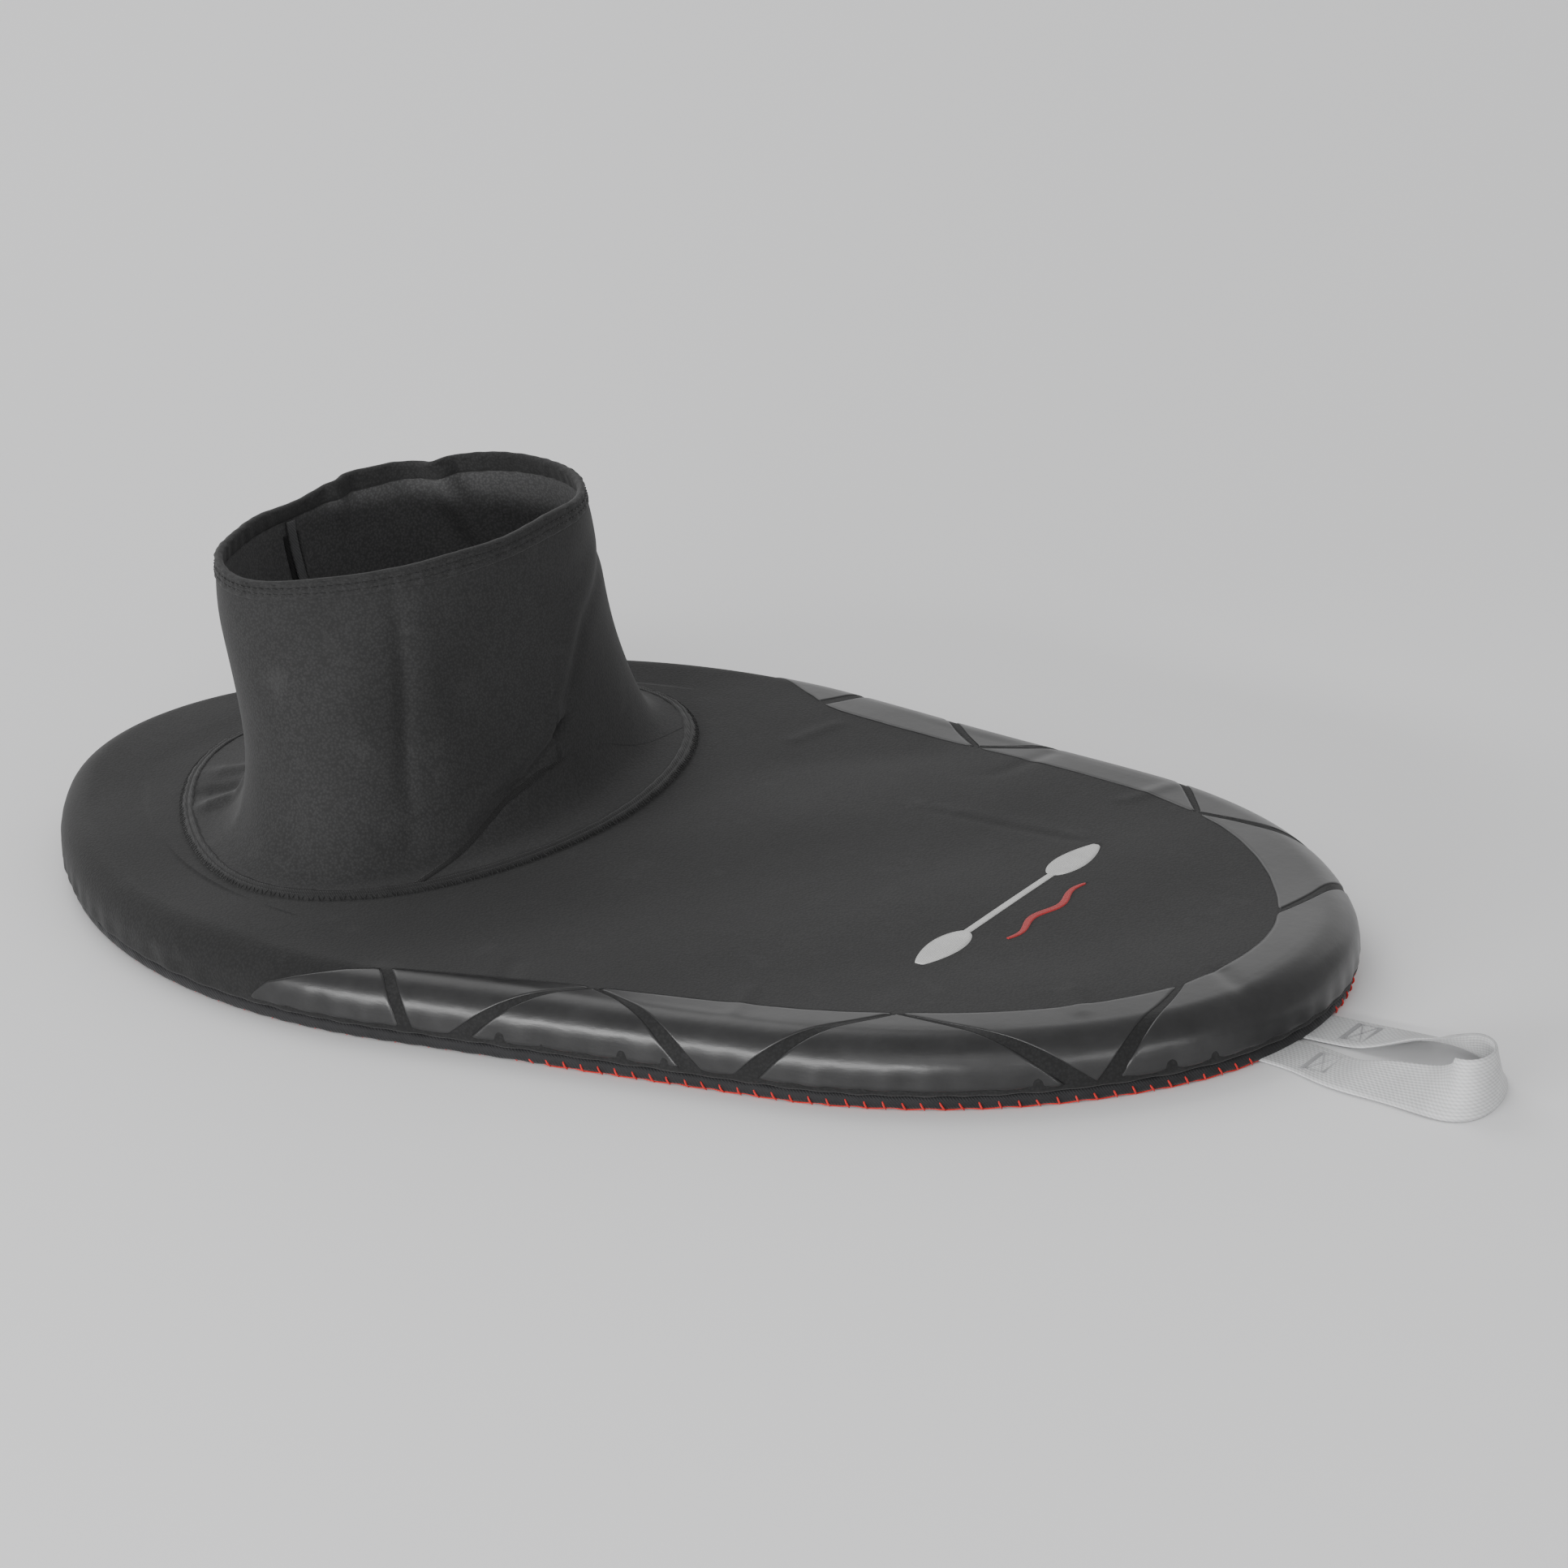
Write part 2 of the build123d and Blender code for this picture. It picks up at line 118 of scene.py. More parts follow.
def section(l):
    """Inset, height and normal of the deck's section at l metres up from the foot of its side."""
    l = np.asarray(l, float)
    side, bend = SIDE_H, RIM_R * math.pi / 2
    a = np.clip((l - side) / bend, 0, 1) * math.pi / 2
    t = np.clip(-l / TUCK_L, 0, 1) * math.pi / 2
    foot = HEM_Z + TUCK_R
    d = np.where(l < 0, TUCK_R * (1 - np.cos(t)), RIM_R * (1 - np.cos(a)) + np.clip(l - side - bend, 0, None))
    z = np.where(l < 0, foot - TUCK_R * np.sin(t), foot + np.clip(l, 0, side) + RIM_R * np.sin(a))
    out = np.where(l < 0, np.cos(t), np.cos(a))
    up = np.where(l < 0, -np.sin(t), np.sin(a))
    return d, z, out, up


def ridge(x, y, a, b, width, height):
    """Height of a soft ridge or valley along the line from a to b."""
    ax, ay = a
    bx, by = b
    dx, dy = bx - ax, by - ay
    t = np.clip(((x - ax) * dx + (y - ay) * dy) / (dx * dx + dy * dy), 0, 1)
    d = np.hypot(x - ax - t * dx, y - ay - t * dy)
    return height * np.exp(-((d / width) ** 2))


# creases of the deck's cloth: from, to, width and height
CREASES = [
    ((0.118, 0.101), (0.218, 0.102), 0.0045, -0.00045),
    ((0.124, 0.110), (0.214, 0.111), 0.0065, 0.0003),
    ((0.020, -0.070), (0.110, -0.140), 0.024, 0.0008),
    ((-0.010, 0.130), (0.060, 0.180), 0.020, -0.0007),
    ((0.165, -0.175), (0.176, -0.208), 0.006, 0.0006),
    ((-0.026, 0.165), (-0.018, 0.196), 0.006, 0.0007),
    ((0.118, 0.170), (0.130, 0.215), 0.006, -0.0007),
    ((0.212, 0.170), (0.226, 0.203), 0.006, 0.0007),
    ((0.395, -0.035), (0.425, -0.055), 0.006, -0.0009),
    ((0.330, -0.090), (0.352, -0.118), 0.006, 0.0006),
    ((0.020, -0.205), (0.030, -0.225), 0.006, -0.0006),
]


def deck_lift(x, y):
    """Small rises and creases of the deck's cloth over its flat height."""
    z = 0.0007 * np.sin(x * 17 + 0.6) * np.cos(y * 15 - 0.4) + 0.0007 * np.sin(x * 31 - y * 23 + 1.3)
    for start, end, width, height in CREASES:
        z = z + ridge(x, y, start, end, width, height)
    return z


def gather(u, l):
    """How far the rim's foot swells out between the pulls of the shock cord."""
    s = u * AROUND
    wave = np.sin(s * 270 + 2.2 * np.sin(s * 19)) + 0.5 * np.sin(s * 173 + 1.0)
    return 0.00035 * wave * np.exp(-(((l - 0.002) / 0.009) ** 2))


def skin(u, l, off=0.0):
    """Point of the rim's outer surface at share u and section place l, off metres above it."""
    u, l = np.broadcast_arrays(np.asarray(u, float), np.asarray(l, float))
    p, n = edge(u)
    d, z, out, up = section(l)
    o = off + gather(u, l)
    xy = p + n * (o * out - d)[..., None]
    fade = np.clip((d - 0.004) / 0.02, 0, 1)
    lift = deck_lift(xy[..., 0], xy[..., 1]) * fade
    return np.concatenate([xy, (z + o * up + lift)[..., None]], -1)


# ---------------------------------------------------------------- the tunnel's surface
def smooth_keys(keys, count, sigma):
    """Rows of numbers run through smoothly, count of them."""
    keys = np.array(keys, float)
    span = np.linspace(0, len(keys) - 1, count)
    rows = np.stack([np.interp(span, np.arange(len(keys)), k) for k in keys.T], -1)
    w = int(sigma * 3)
    kernel = np.exp(-0.5 * (np.arange(-w, w + 1) / sigma) ** 2)
    kernel /= kernel.sum()
    before = 2 * rows[0] - rows[1 : w + 1][::-1]
    after = 2 * rows[-1] - rows[-w - 1 : -1][::-1]
    padded = np.concatenate([before, rows, after])
    return np.stack([np.convolve(c, kernel, "valid") for c in padded.T], -1)


BASE_Z = flange_hi.z + 0.0002
LIP_Z = (top_lo.z + top_hi.z) / 2 + 0.0035
# height, centre, half length, half width, squareness, egg
LEVELS = [
    (BASE_Z, -0.0010, 0.1465, 0.1830, 1.85, 0.26),
    (BASE_Z + 0.0008, 0.0000, 0.1330, 0.1795, 1.88, 0.24),
    (BASE_Z + 0.0024, 0.0030, 0.1180, 0.1755, 1.92, 0.21),
    (BASE_Z + 0.0070, 0.0080, 0.1060, 0.1705, 1.95, 0.18),
    (BASE_Z + 0.0160, 0.0110, 0.0990, 0.1655, 1.97, 0.16),
    (BASE_Z + 0.0300, 0.0120, 0.0955, 0.1590, 2.00, 0.13),
    (BASE_Z + 0.0500, 0.0110, 0.0950, 0.1520, 2.00, 0.11),
    (BASE_Z + 0.0720, 0.0092, 0.0955, 0.1470, 2.00, 0.08),
    (BASE_Z + 0.0940, 0.0068, 0.0965, 0.1430, 2.02, 0.06),
    (BASE_Z + 0.1160, 0.0046, 0.0985, 0.1395, 2.04, 0.04),
    (BASE_Z + 0.1360, 0.0024, 0.1005, 0.1365, 2.06, 0.02),
    (BASE_Z + 0.1540, 0.0008, 0.1005, 0.1325, 2.08, 0.01),
    (LIP_Z, 0.0000, 0.0995, 0.1285, 2.09, 0.00),
]
V_COUNT = 400
LEVEL = smooth_keys(LEVELS, V_COUNT, 14)
V = np.linspace(0, 1, V_COUNT)
TILT = 0.079  # how much the lip rises towards the bow
GIRTH_R = 0.115  # mean radius that turns angles on the wall into lengths


def level(v):
    """The level's numbers at share v of the way up."""
    return [np.interp(v, V, LEVEL[:, k]) for k in range(6)]


def bell(x, width):
    return np.exp(-((x / width) ** 2))


def turn_from(theta, centre):
    """Angle from centre in radians, wrapped to plus or minus pi."""
    return (theta - math.radians(centre) + math.pi) % (2 * math.pi) - math.pi


def along(theta, h, stops):
    """Signed distance in metres on the tunnel's wall from a line of (degrees, share of height) stops."""
    x, y = turn_from(theta, 0) * GIRTH_R, h * (LIP_Z - BASE_Z)
    best, sign = np.full(np.shape(x + y), 9.0), np.ones(np.shape(x + y))
    for (ta, ha), (tb, hb) in zip(stops, stops[1:]):
        ax, ay = math.radians(ta) * GIRTH_R, ha * (LIP_Z - BASE_Z)
        bx, by = math.radians(tb) * GIRTH_R, hb * (LIP_Z - BASE_Z)
        dx, dy = bx - ax, by - ay
        t = np.clip(((x - ax) * dx + (y - ay) * dy) / (dx * dx + dy * dy), 0, 1)
        far = np.hypot(x - ax - t * dx, y - ay - t * dy)
        side = np.sign(dx * (y - ay) - dy * (x - ax))
        nearer = far < best
        best, sign = np.where(nearer, far, best), np.where(nearer, side, sign)
    return best * sign


# degrees round and shares of the height that the long fold and the gusset's seam pass through
FOLD_STOPS = [(2, 0.27), (7, 0.34), (12, 0.39), (27, 0.58), (48, 0.70), (66, 0.74)]
SEAM_STOPS = [(-56, 0.0), (-47.5, 0.026), (-36.3, 0.115), (-26, 0.17), (-14.3, 0.215), (1.6, 0.287)]
# drag lines of the flare: degrees round, width in radians and height
DRAGS = [
    (-20, 0.05, 0.0012), (-85, 0.06, -0.0013), (-110, 0.07, 0.0012), (70, 0.06, -0.0013), (150, 0.07, 0.0012),
]


def dents(theta, z):
    """How far the tunnel's cloth stands out from its plain shape, from its folds and waves."""
    h = (z - BASE_Z) / (LIP_Z - BASE_Z)
    body = np.clip(h * 5, 0, 1)
    d = 0.0012 * np.sin(3 * theta + 0.8) * h + 0.0009 * np.sin(5 * theta - 1.1) * h**2
    d = d + 0.0008 * np.sin(2 * theta + 7 * h) * body
    # soft upright crease down the near side, and its shoulders
    d = d - 0.0032 * bell(turn_from(theta, -58) + 0.03 * np.sin(6 * h), 0.040) * bell(h - 0.46, 0.44)
    d = d + 0.0020 * bell(turn_from(theta, -49), 0.09) * bell(h - 0.46, 0.42)
    d = d + 0.0012 * bell(turn_from(theta, -68), 0.09) * bell(h - 0.46, 0.42)
    # the fold that runs on from the gusset's point to the kink on the bow side
    line = along(theta, h, FOLD_STOPS)
    d = d - 0.0018 * bell(line, 0.0085) + 0.0013 * bell(line - 0.014, 0.014)
    d = d - 0.0022 * bell(turn_from(theta, 40), 0.50) * bell(h - 0.80, 0.07)
    # the tube's cloth stands a little proud of the gusset along their seam
    line = along(theta, h, SEAM_STOPS)
    d = d + 0.0016 * bell(line - 0.006, 0.007) - 0.0026 * bell(line + 0.0035, 0.0040)
    # stern side falls in a little at half height, with a fold at its foot
    d = d - 0.0030 * bell(turn_from(theta, -148), 0.40) * bell(h - 0.36, 0.16)
    fold = turn_from(theta, -139) + 1.1 * (h - 0.08)
    d = d - 0.0060 * bell(fold, 0.060) * bell(h - 0.09, 0.09)
    d = d + 0.0040 * bell(fold - 0.12, 0.07) * bell(h - 0.10, 0.10)
    # fold of the far wall, seen on the inside
    d = d - 0.0085 * bell(turn_from(theta, 117) + 0.5 * (1 - h), 0.060) * bell(h - 0.92, 0.30)
    d = d + 0.0045 * bell(turn_from(theta, 129) + 0.5 * (1 - h), 0.10) * bell(h - 0.92, 0.32)
    d = d - 0.0045 * bell(turn_from(theta, 151), 0.055) * bell(h - 0.99, 0.16)
    for centre, width, height in DRAGS:
        d = d + height * bell(turn_from(theta, centre), width) * bell(h - 0.10, 0.11)
    return d


def tube(phi, v):
    """Point of the tunnel's outer surface at angle phi and share v of the way up."""
    phi, v = np.broadcast_arrays(np.asarray(phi, float), np.asarray(v, float))
    z, cx, a, b, n, egg = level(v)
    c, s = np.cos(phi), np.sin(phi)
    x = a * np.sign(c) * np.abs(c) ** (2 / n)
    y = b * np.sign(s) * np.abs(s) ** (2 / n) * (1 + egg * x / a)
    r = np.hypot(x, y)
    theta = np.arctan2(y, x)
    h = (z - BASE_Z) / (LIP_Z - BASE_Z)
    k = 1 + dents(theta, z) * np.clip(h * 14, 0, 1) / r
    x, y = x * k, y * k
    lip = np.clip((h - 0.80) / 0.20, 0, 1) ** 2
    wave = 0.0016 * np.sin(2 * theta + 2.4) + 0.0009 * np.sin(5 * theta + 0.4) + 0.0006 * np.sin(8 * theta)
    slump = -0.0062 * bell(turn_from(theta, 166), 0.40) / (1 + np.exp(-turn_from(theta, 151) / 0.06))
    slump = slump * (np.abs(turn_from(theta, 166)) < 1.5)
    z = z + TILT * x * np.clip(h, 0, 1) + (wave + slump) * lip
    # the loose cloth at the foot of the stern side rucks up a little
    low = bell(h - 0.022, 0.030) * np.clip(h * 120, 0, 1)
    ruck = 0.0042 * bell(turn_from(theta, -131), 0.060) - 0.0030 * bell(turn_from(theta, -142), 0.060)
    z = z + (ruck + 0.0030 * bell(turn_from(theta, -156), 0.070)) * low
    return np.stack([TUBE_X + cx + x, y, z], -1)


def tube_frame(phi, v):
    """Point, outward normal, way round and way up of the tunnel's surface."""
    e = 1e-3
    p = tube(phi, v)
    du = tube(np.asarray(phi) + e, v) - tube(np.asarray(phi) - e, v)
    dv = tube(phi, np.minimum(np.asarray(v) + e, 1)) - tube(phi, np.maximum(np.asarray(v) - e, 0))
    n = np.cross(du, dv)

    def unit(w):
        return w / np.maximum(np.linalg.norm(w, axis=-1, keepdims=True), 1e-12)

    return p, unit(n), unit(du), unit(dv)


def v_of_height(z):
    return float(np.interp(z, LEVEL[:, 0], V))


# ---------------------------------------------------------------- mesh helpers
def mesh_object(name, verts, faces, mats, uvs=None):
    """A closed smooth-shaded mesh in the scene, its faces turned outwards."""
    me = bpy.data.meshes.new(name)
    me.from_pydata(verts, [], faces)
    if uvs is not None:
        layer = me.uv_layers.new(name="UVMap")
        flat = np.array([uvs[i] for f in faces for i in f], np.float32)
        layer.data.foreach_set("uv", flat.ravel())
    me.polygons.foreach_set("use_smooth", [True] * len(me.polygons))
    for m in mats:
        me.materials.append(m)
    ob = bpy.data.objects.new(name, me)
    bpy.context.scene.collection.objects.link(ob)
    bm = bmesh.new()
    bm.from_mesh(me)
    bmesh.ops.recalc_face_normals(bm, faces=bm.faces)
    bm.to_mesh(me)
    bm.free()
    me.update()
    return ob


def grid_faces(m, n, close_u, close_v, base=0):
    """Quads of an m by n grid of points, either way closed round."""
    i = np.arange(m if close_u else m - 1)
    j = np.arange(n if close_v else n - 1)
    a, b = np.meshgrid(i, j, indexing="ij")
    a2, b2 = (a + 1) % m, (b + 1) % n
    quads = np.stack([a * n + b, a2 * n + b, a2 * n + b2, a * n + b2], -1).reshape(-1, 4) + base
    return [tuple(int(k) for k in q) for q in quads]


def grid(name, points, mats, close_u=False, close_v=False, caps=False, uv=None, merge=0.0):
    """A mesh over a grid of points; caps close its two ends, and merge joins points that meet."""
    m, n = points.shape[:2]
    faces = grid_faces(m, n, close_u, close_v)
    if caps == "strips":  # the ends of a folded-back sheet, closed edge to edge
        for row in (0, (m - 1) * n):
            faces += [(row + j, row + j + 1, row + n - 2 - j, row + n - 1 - j) for j in range(n // 2 - 1)]
    elif caps:
        faces.append(tuple(range(n - 1, -1, -1)))
        faces.append(tuple(range((m - 1) * n, m * n)))
    uvs = None if uv is None else uv.reshape(-1, 2)
    ob = mesh_object(name, points.reshape(-1, 3).tolist(), faces, mats, uvs)
    if merge:
        bm = bmesh.new()
        bm.from_mesh(ob.data)
        bmesh.ops.remove_doubles(bm, verts=bm.verts, dist=merge)
        bmesh.ops.dissolve_degenerate(bm, dist=merge / 4, edges=bm.edges)
        bmesh.ops.recalc_face_normals(bm, faces=bm.faces)
        bm.to_mesh(ob.data)
        bm.free()
        ob.data.polygons.foreach_set("use_smooth", [True] * len(ob.data.polygons))
    return ob


def two_sided(name, outer, inner, mats, close_u=False, merge=1e-5):
    """A cloth of real thickness: outer and inner grids joined along their edges."""
    loop = np.concatenate([outer, inner[:, ::-1]], 1)
    caps = False if close_u else "strips"
    return grid(name, loop, mats, close_u=close_u, close_v=True, caps=caps, merge=merge)


def strip_stitches(name, starts, ends, ups, radius, mats, arch=1.0, sides=6, steps=7):
    """Short thread stitches, each an arched bar whose two ends sink into the cloth."""
    verts, faces = [], []
    t = np.linspace(0, 1, steps)
    for p, q, up in zip(starts, ends, ups):
        d = (q - p) / np.linalg.norm(q - p)
        side = np.cross(up, d)
        side /= np.linalg.norm(side)
        up2 = np.cross(d, side)
        base = len(verts)
        for k in t:
            c = p + (q - p) * k + up2 * radius * (arch * math.sin(math.pi * k) - 0.45)
            r = radius * (0.62 + 0.38 * math.sin(math.pi * k) ** 0.5)
            for j in range(sides):
                a = 2 * math.pi * j / sides
                verts.append((c + side * r * math.cos(a) + up2 * r * math.sin(a)).tolist())
        faces += grid_faces(steps, sides, False, True, base)
        faces.append(tuple(base + j for j in range(sides - 1, -1, -1)))
        faces.append(tuple(base + (steps - 1) * sides + j for j in range(sides)))
    return mesh_object(name, verts, faces, mats)


# ---------------------------------------------------------------- materials
def material(name, rough, specular=0.5, sheen=0.0):
    """A new material with its node tree and its shader."""
    m = bpy.data.materials.new(name)
    m.use_nodes = True
    nt = m.node_tree
    b = nt.nodes["Principled BSDF"]
    b.inputs["Roughness"].default_value = rough
    b.inputs["Specular IOR Level"].default_value = specular
    b.inputs["Sheen Weight"].default_value = sheen
    b.inputs["Sheen Roughness"].default_value = 0.5
    b.inputs["Coat Weight"].default_value = 0.0
    b.inputs["Coat Roughness"].default_value = 0.2
    return m, nt, b


def node(nt, kind, **values):
    n = nt.nodes.new(kind)
    for k, v in values.items():
        if k in n.inputs:
            n.inputs[k].default_value = v
        else:
            setattr(n, k, v)
    return n


def coords(nt, scale, out="Object"):
    tc = nt.nodes.new("ShaderNodeTexCoord")
    mp = nt.nodes.new("ShaderNodeMapping")
    mp.inputs["Scale"].default_value = scale
    nt.links.new(tc.outputs[out], mp.inputs["Vector"])
    return mp.outputs["Vector"]


def ramp(nt, source, stops):
    r = nt.nodes.new("ShaderNodeValToRGB")
    el = r.color_ramp.elements
    while len(el) < len(stops):
        el.new(0.5)
    for e, (pos, col) in zip(el, stops):
        e.position = pos
        e.color = (*col, 1.0) if hasattr(col, "__len__") else (col, col, col, 1.0)
    nt.links.new(source, r.inputs["Fac"])
    return r.outputs["Color"]


def mix(nt, kind, fac, a, b):
    m = nt.nodes.new("ShaderNodeMix")
    m.data_type = "RGBA"
    m.blend_type = kind
    for socket, v in ((0, fac), (6, a), (7, b)):
        if hasattr(v, "is_linked") or hasattr(v, "links"):
            nt.links.new(v, m.inputs[socket])
        else:
            m.inputs[socket].default_value = v if socket == 0 else (*v, 1.0)
    return m.outputs[2]


def noise(nt, vec, scale, detail=4.0, rough=0.55):
    n = node(nt, "ShaderNodeTexNoise")
    n.inputs["Scale"].default_value = scale
    n.inputs["Detail"].default_value = detail
    n.inputs["Roughness"].default_value = rough
    nt.links.new(vec, n.inputs["Vector"])
    return n.outputs["Fac"]


def bumps(nt, shader, layers):
    """Bump layers one over another: (height socket, strength, distance)."""
    last = None
    for height, strength, distance in layers:
        bp = nt.nodes.new("ShaderNodeBump")
        bp.inputs["Strength"].default_value = strength
        bp.inputs["Distance"].default_value = distance
        nt.links.new(height, bp.inputs["Height"])
        if last is not None:
            nt.links.new(last, bp.inputs["Normal"])
        last = bp.outputs["Normal"]
    nt.links.new(last, shader.inputs["Normal"])


def vary_rough(nt, shader, source, lo, hi):
    r = nt.nodes.new("ShaderNodeMapRange")
    r.inputs["To Min"].default_value = lo
    r.inputs["To Max"].default_value = hi
    nt.links.new(source, r.inputs["Value"])
    nt.links.new(r.outputs["Result"], shader.inputs["Roughness"])


def neoprene(name, dark, light, grain, sheen):
    """Knit-faced neoprene: a fine knit over soft mottling, rubbed lighter here and there."""
    m, nt, b = material(name, 0.85, 0.25, sheen)
    vec = coords(nt, (1, 1, 1))
    mottle = noise(nt, vec, 9, 5)
    rub = noise(nt, vec, 34, 6, 0.65)
    knit = node(nt, "ShaderNodeTexVoronoi")
    knit.inputs["Scale"].default_value = grain
    nt.links.new(vec, knit.inputs["Vector"])
    fine = noise(nt, vec, grain * 1.6, 2)
    base = mix(nt, "MIX", ramp(nt, mottle, [(0.35, 0.0), (0.68, 1.0)]), dark, light)
    base = mix(nt, "OVERLAY", 0.35, base, (0.5, 0.5, 0.5))
    base = mix(nt, "MULTIPLY", 0.75, base, ramp(nt, knit.outputs["Distance"], [(0.0, 1.0), (0.70, 0.42)]))
    base = mix(nt, "ADD", 0.20, base, ramp(nt, rub, [(0.58, 0.0), (0.80, 0.06)]))
    nt.links.new(base, b.inputs["Base Color"])
    vary_rough(nt, b, rub, 0.78, 0.95)
    bumps(nt, b, [(mottle, 0.25, 0.0012), (knit.outputs["Distance"], 0.5, 0.00025), (fine, 0.35, 0.0002)])
    return m


def rubber(name, colour, lo, hi):
    """Poured rubber coating: glossy, with shallow dimples and fine stretch wrinkles."""
    m, nt, b = material(name, lo, 0.5, 0.0)
    vec = coords(nt, (1, 1, 1))
    broad = noise(nt, vec, 14, 4)
    pits = noise(nt, vec, 240, 3)
    wrinkle = noise(nt, coords(nt, (1.0, 1.0, 3.5)), 70, 4, 0.6)
    smear = noise(nt, vec, 42, 6, 0.7)
    base = mix(nt, "MIX", ramp(nt, smear, [(0.35, 0.0), (0.75, 1.0)]), colour, tuple(c * 1.9 for c in colour))
    nt.links.new(base, b.inputs["Base Color"])
    mixr = mix(nt, "MIX", 0.4, ramp(nt, broad, [(0.3, 0.0), (0.7, 1.0)]), smear)
    vary_rough(nt, b, mixr, lo, hi)
    bumps(nt, b, [(broad, 0.14, 0.0022), (wrinkle, 0.16, 0.0008), (pits, 0.16, 0.0003)])
    return m


def cloth_tape(name, colour, scale, rough=0.8, bright=1.5):
    """A woven tape or thread: fine ribs and a little colour change along it."""
    m, nt, b = material(name, rough, 0.3, 0.1)
    vec = coords(nt, (1, 1, 1))
    mottle = noise(nt, vec, 60, 4)
    weave = node(nt, "ShaderNodeTexWave", wave_type="BANDS", bands_direction="DIAGONAL")
    weave.inputs["Scale"].default_value = scale
    weave.inputs["Distortion"].default_value = 1.5
    nt.links.new(vec, weave.inputs["Vector"])
    light = tuple(min(1.0, c * bright) for c in colour)
    base = mix(nt, "MIX", ramp(nt, mottle, [(0.3, 0.0), (0.7, 1.0)]), colour, light)
    base = mix(nt, "MULTIPLY", 0.5, base, ramp(nt, weave.outputs["Fac"], [(0.0, 0.55), (1.0, 1.0)]))
    nt.links.new(base, b.inputs["Base Color"])
    bumps(nt, b, [(mottle, 0.2, 0.0006), (weave.outputs["Fac"], 0.6, 0.0003)])
    return m


def webbing_material(name, colour):
    """Woven webbing in its own lengthwise and crosswise coordinates, in metres."""
    m, nt, b = material(name, 0.72, 0.35, 0.15)
    vec = coords(nt, (1, 1, 1), "UV")
    warp = node(nt, "ShaderNodeTexWave", wave_type="BANDS", bands_direction="Y", wave_profile="SIN")
    warp.inputs["Scale"].default_value = 150.0
    warp.inputs["Distortion"].default_value = 0.15
    weft = node(nt, "ShaderNodeTexWave", wave_type="BANDS", bands_direction="DIAGONAL", wave_profile="SIN")
    weft.inputs["Scale"].default_value = 190.0
    weft.inputs["Distortion"].default_value = 0.4
    for w in (warp, weft):
        nt.links.new(vec, w.inputs["Vector"])
    mottle = noise(nt, vec, 55, 5)
    dirt = noise(nt, vec, 16, 6, 0.7)
    base = mix(nt, "MIX", ramp(nt, mottle, [(0.3, 0.0), (0.7, 1.0)]), tuple(c * 0.88 for c in colour), colour)
    base = mix(nt, "MULTIPLY", 0.55, base, ramp(nt, warp.outputs["Fac"], [(0.0, 0.62), (0.6, 1.0)]))
    base = mix(nt, "MULTIPLY", 0.35, base, ramp(nt, weft.outputs["Fac"], [(0.0, 0.62), (0.7, 1.0)]))
    base = mix(nt, "MULTIPLY", 0.5, base, ramp(nt, dirt, [(0.25, 0.68), (0.6, 1.0)]))
    nt.links.new(base, b.inputs["Base Color"])
    bumps(nt, b, [(warp.outputs["Fac"], 0.5, 0.0003), (weft.outputs["Fac"], 0.5, 0.00025)])
    return m


deck_mat = neoprene("deck neoprene", (0.0145, 0.0145, 0.0147), (0.0210, 0.0210, 0.0213), 560, 0.08)
tube_mat = neoprene("tunnel neoprene", (0.026, 0.026, 0.0262), (0.037, 0.037, 0.0374), 620, 0.08)
# inside of the tube: the tunnel's own neoprene painted about three times lighter, painted light where little
# lamp light reaches
inside_painted_light_mat = neoprene("tunnel inside, painted lighter", (0.090, 0.090, 0.0908), (0.115, 0.115, 0.116), 620, 0.10)
coat_mat = rubber("rim rubber", (0.0105, 0.0105, 0.0107), 0.27, 0.40)
hem_mat = cloth_tape("hem binding", (0.010, 0.010, 0.011), 260, 0.7)
tape_mat = cloth_tape("seam tape", (0.013, 0.013, 0.0132), 320, 0.75)
seam_mat = cloth_tape("sewn seam", (0.007, 0.007, 0.007), 320, 0.8)
tab_mat = cloth_tape("hanging tab", (0.075, 0.075, 0.077), 300, 0.75)
cord_mat = cloth_tape("bungee sheath", (0.018, 0.018, 0.019), 420, 0.7)
red_mat = cloth_tape("red thread", (0.62, 0.018, 0.014), 900, 0.6, 1.25)
black_mat = cloth_tape("black thread", (0.010, 0.010, 0.010), 900, 0.6)
grey_mat = cloth_tape("grey thread", (0.36, 0.36, 0.37), 900, 0.6, 1.2)
web_mat = webbing_material("grey webbing", (0.68, 0.685, 0.69))
white_mat = cloth_tape("white print", (0.60, 0.60, 0.59), 500, 0.6, 1.15)
redprint_mat = cloth_tape("red print", (0.40, 0.020, 0.022), 500, 0.6, 1.2)

# ---------------------------------------------------------------- deck
centre = np.array([TUBE_X, 0.0])


def base_radius(theta):
    """Distance of the base seam from the tunnel's middle in direction theta, seen from above."""
    phi = np.linspace(-math.pi, math.pi, 1441)
    p = tube(phi, 0.0)
    t = np.arctan2(p[:, 1], p[:, 0] - TUBE_X)
    order = np.argsort(t)
    r = np.hypot(p[:, 0] - TUBE_X, p[:, 1])
    return np.interp(theta, t[order], r[order], period=2 * math.pi)


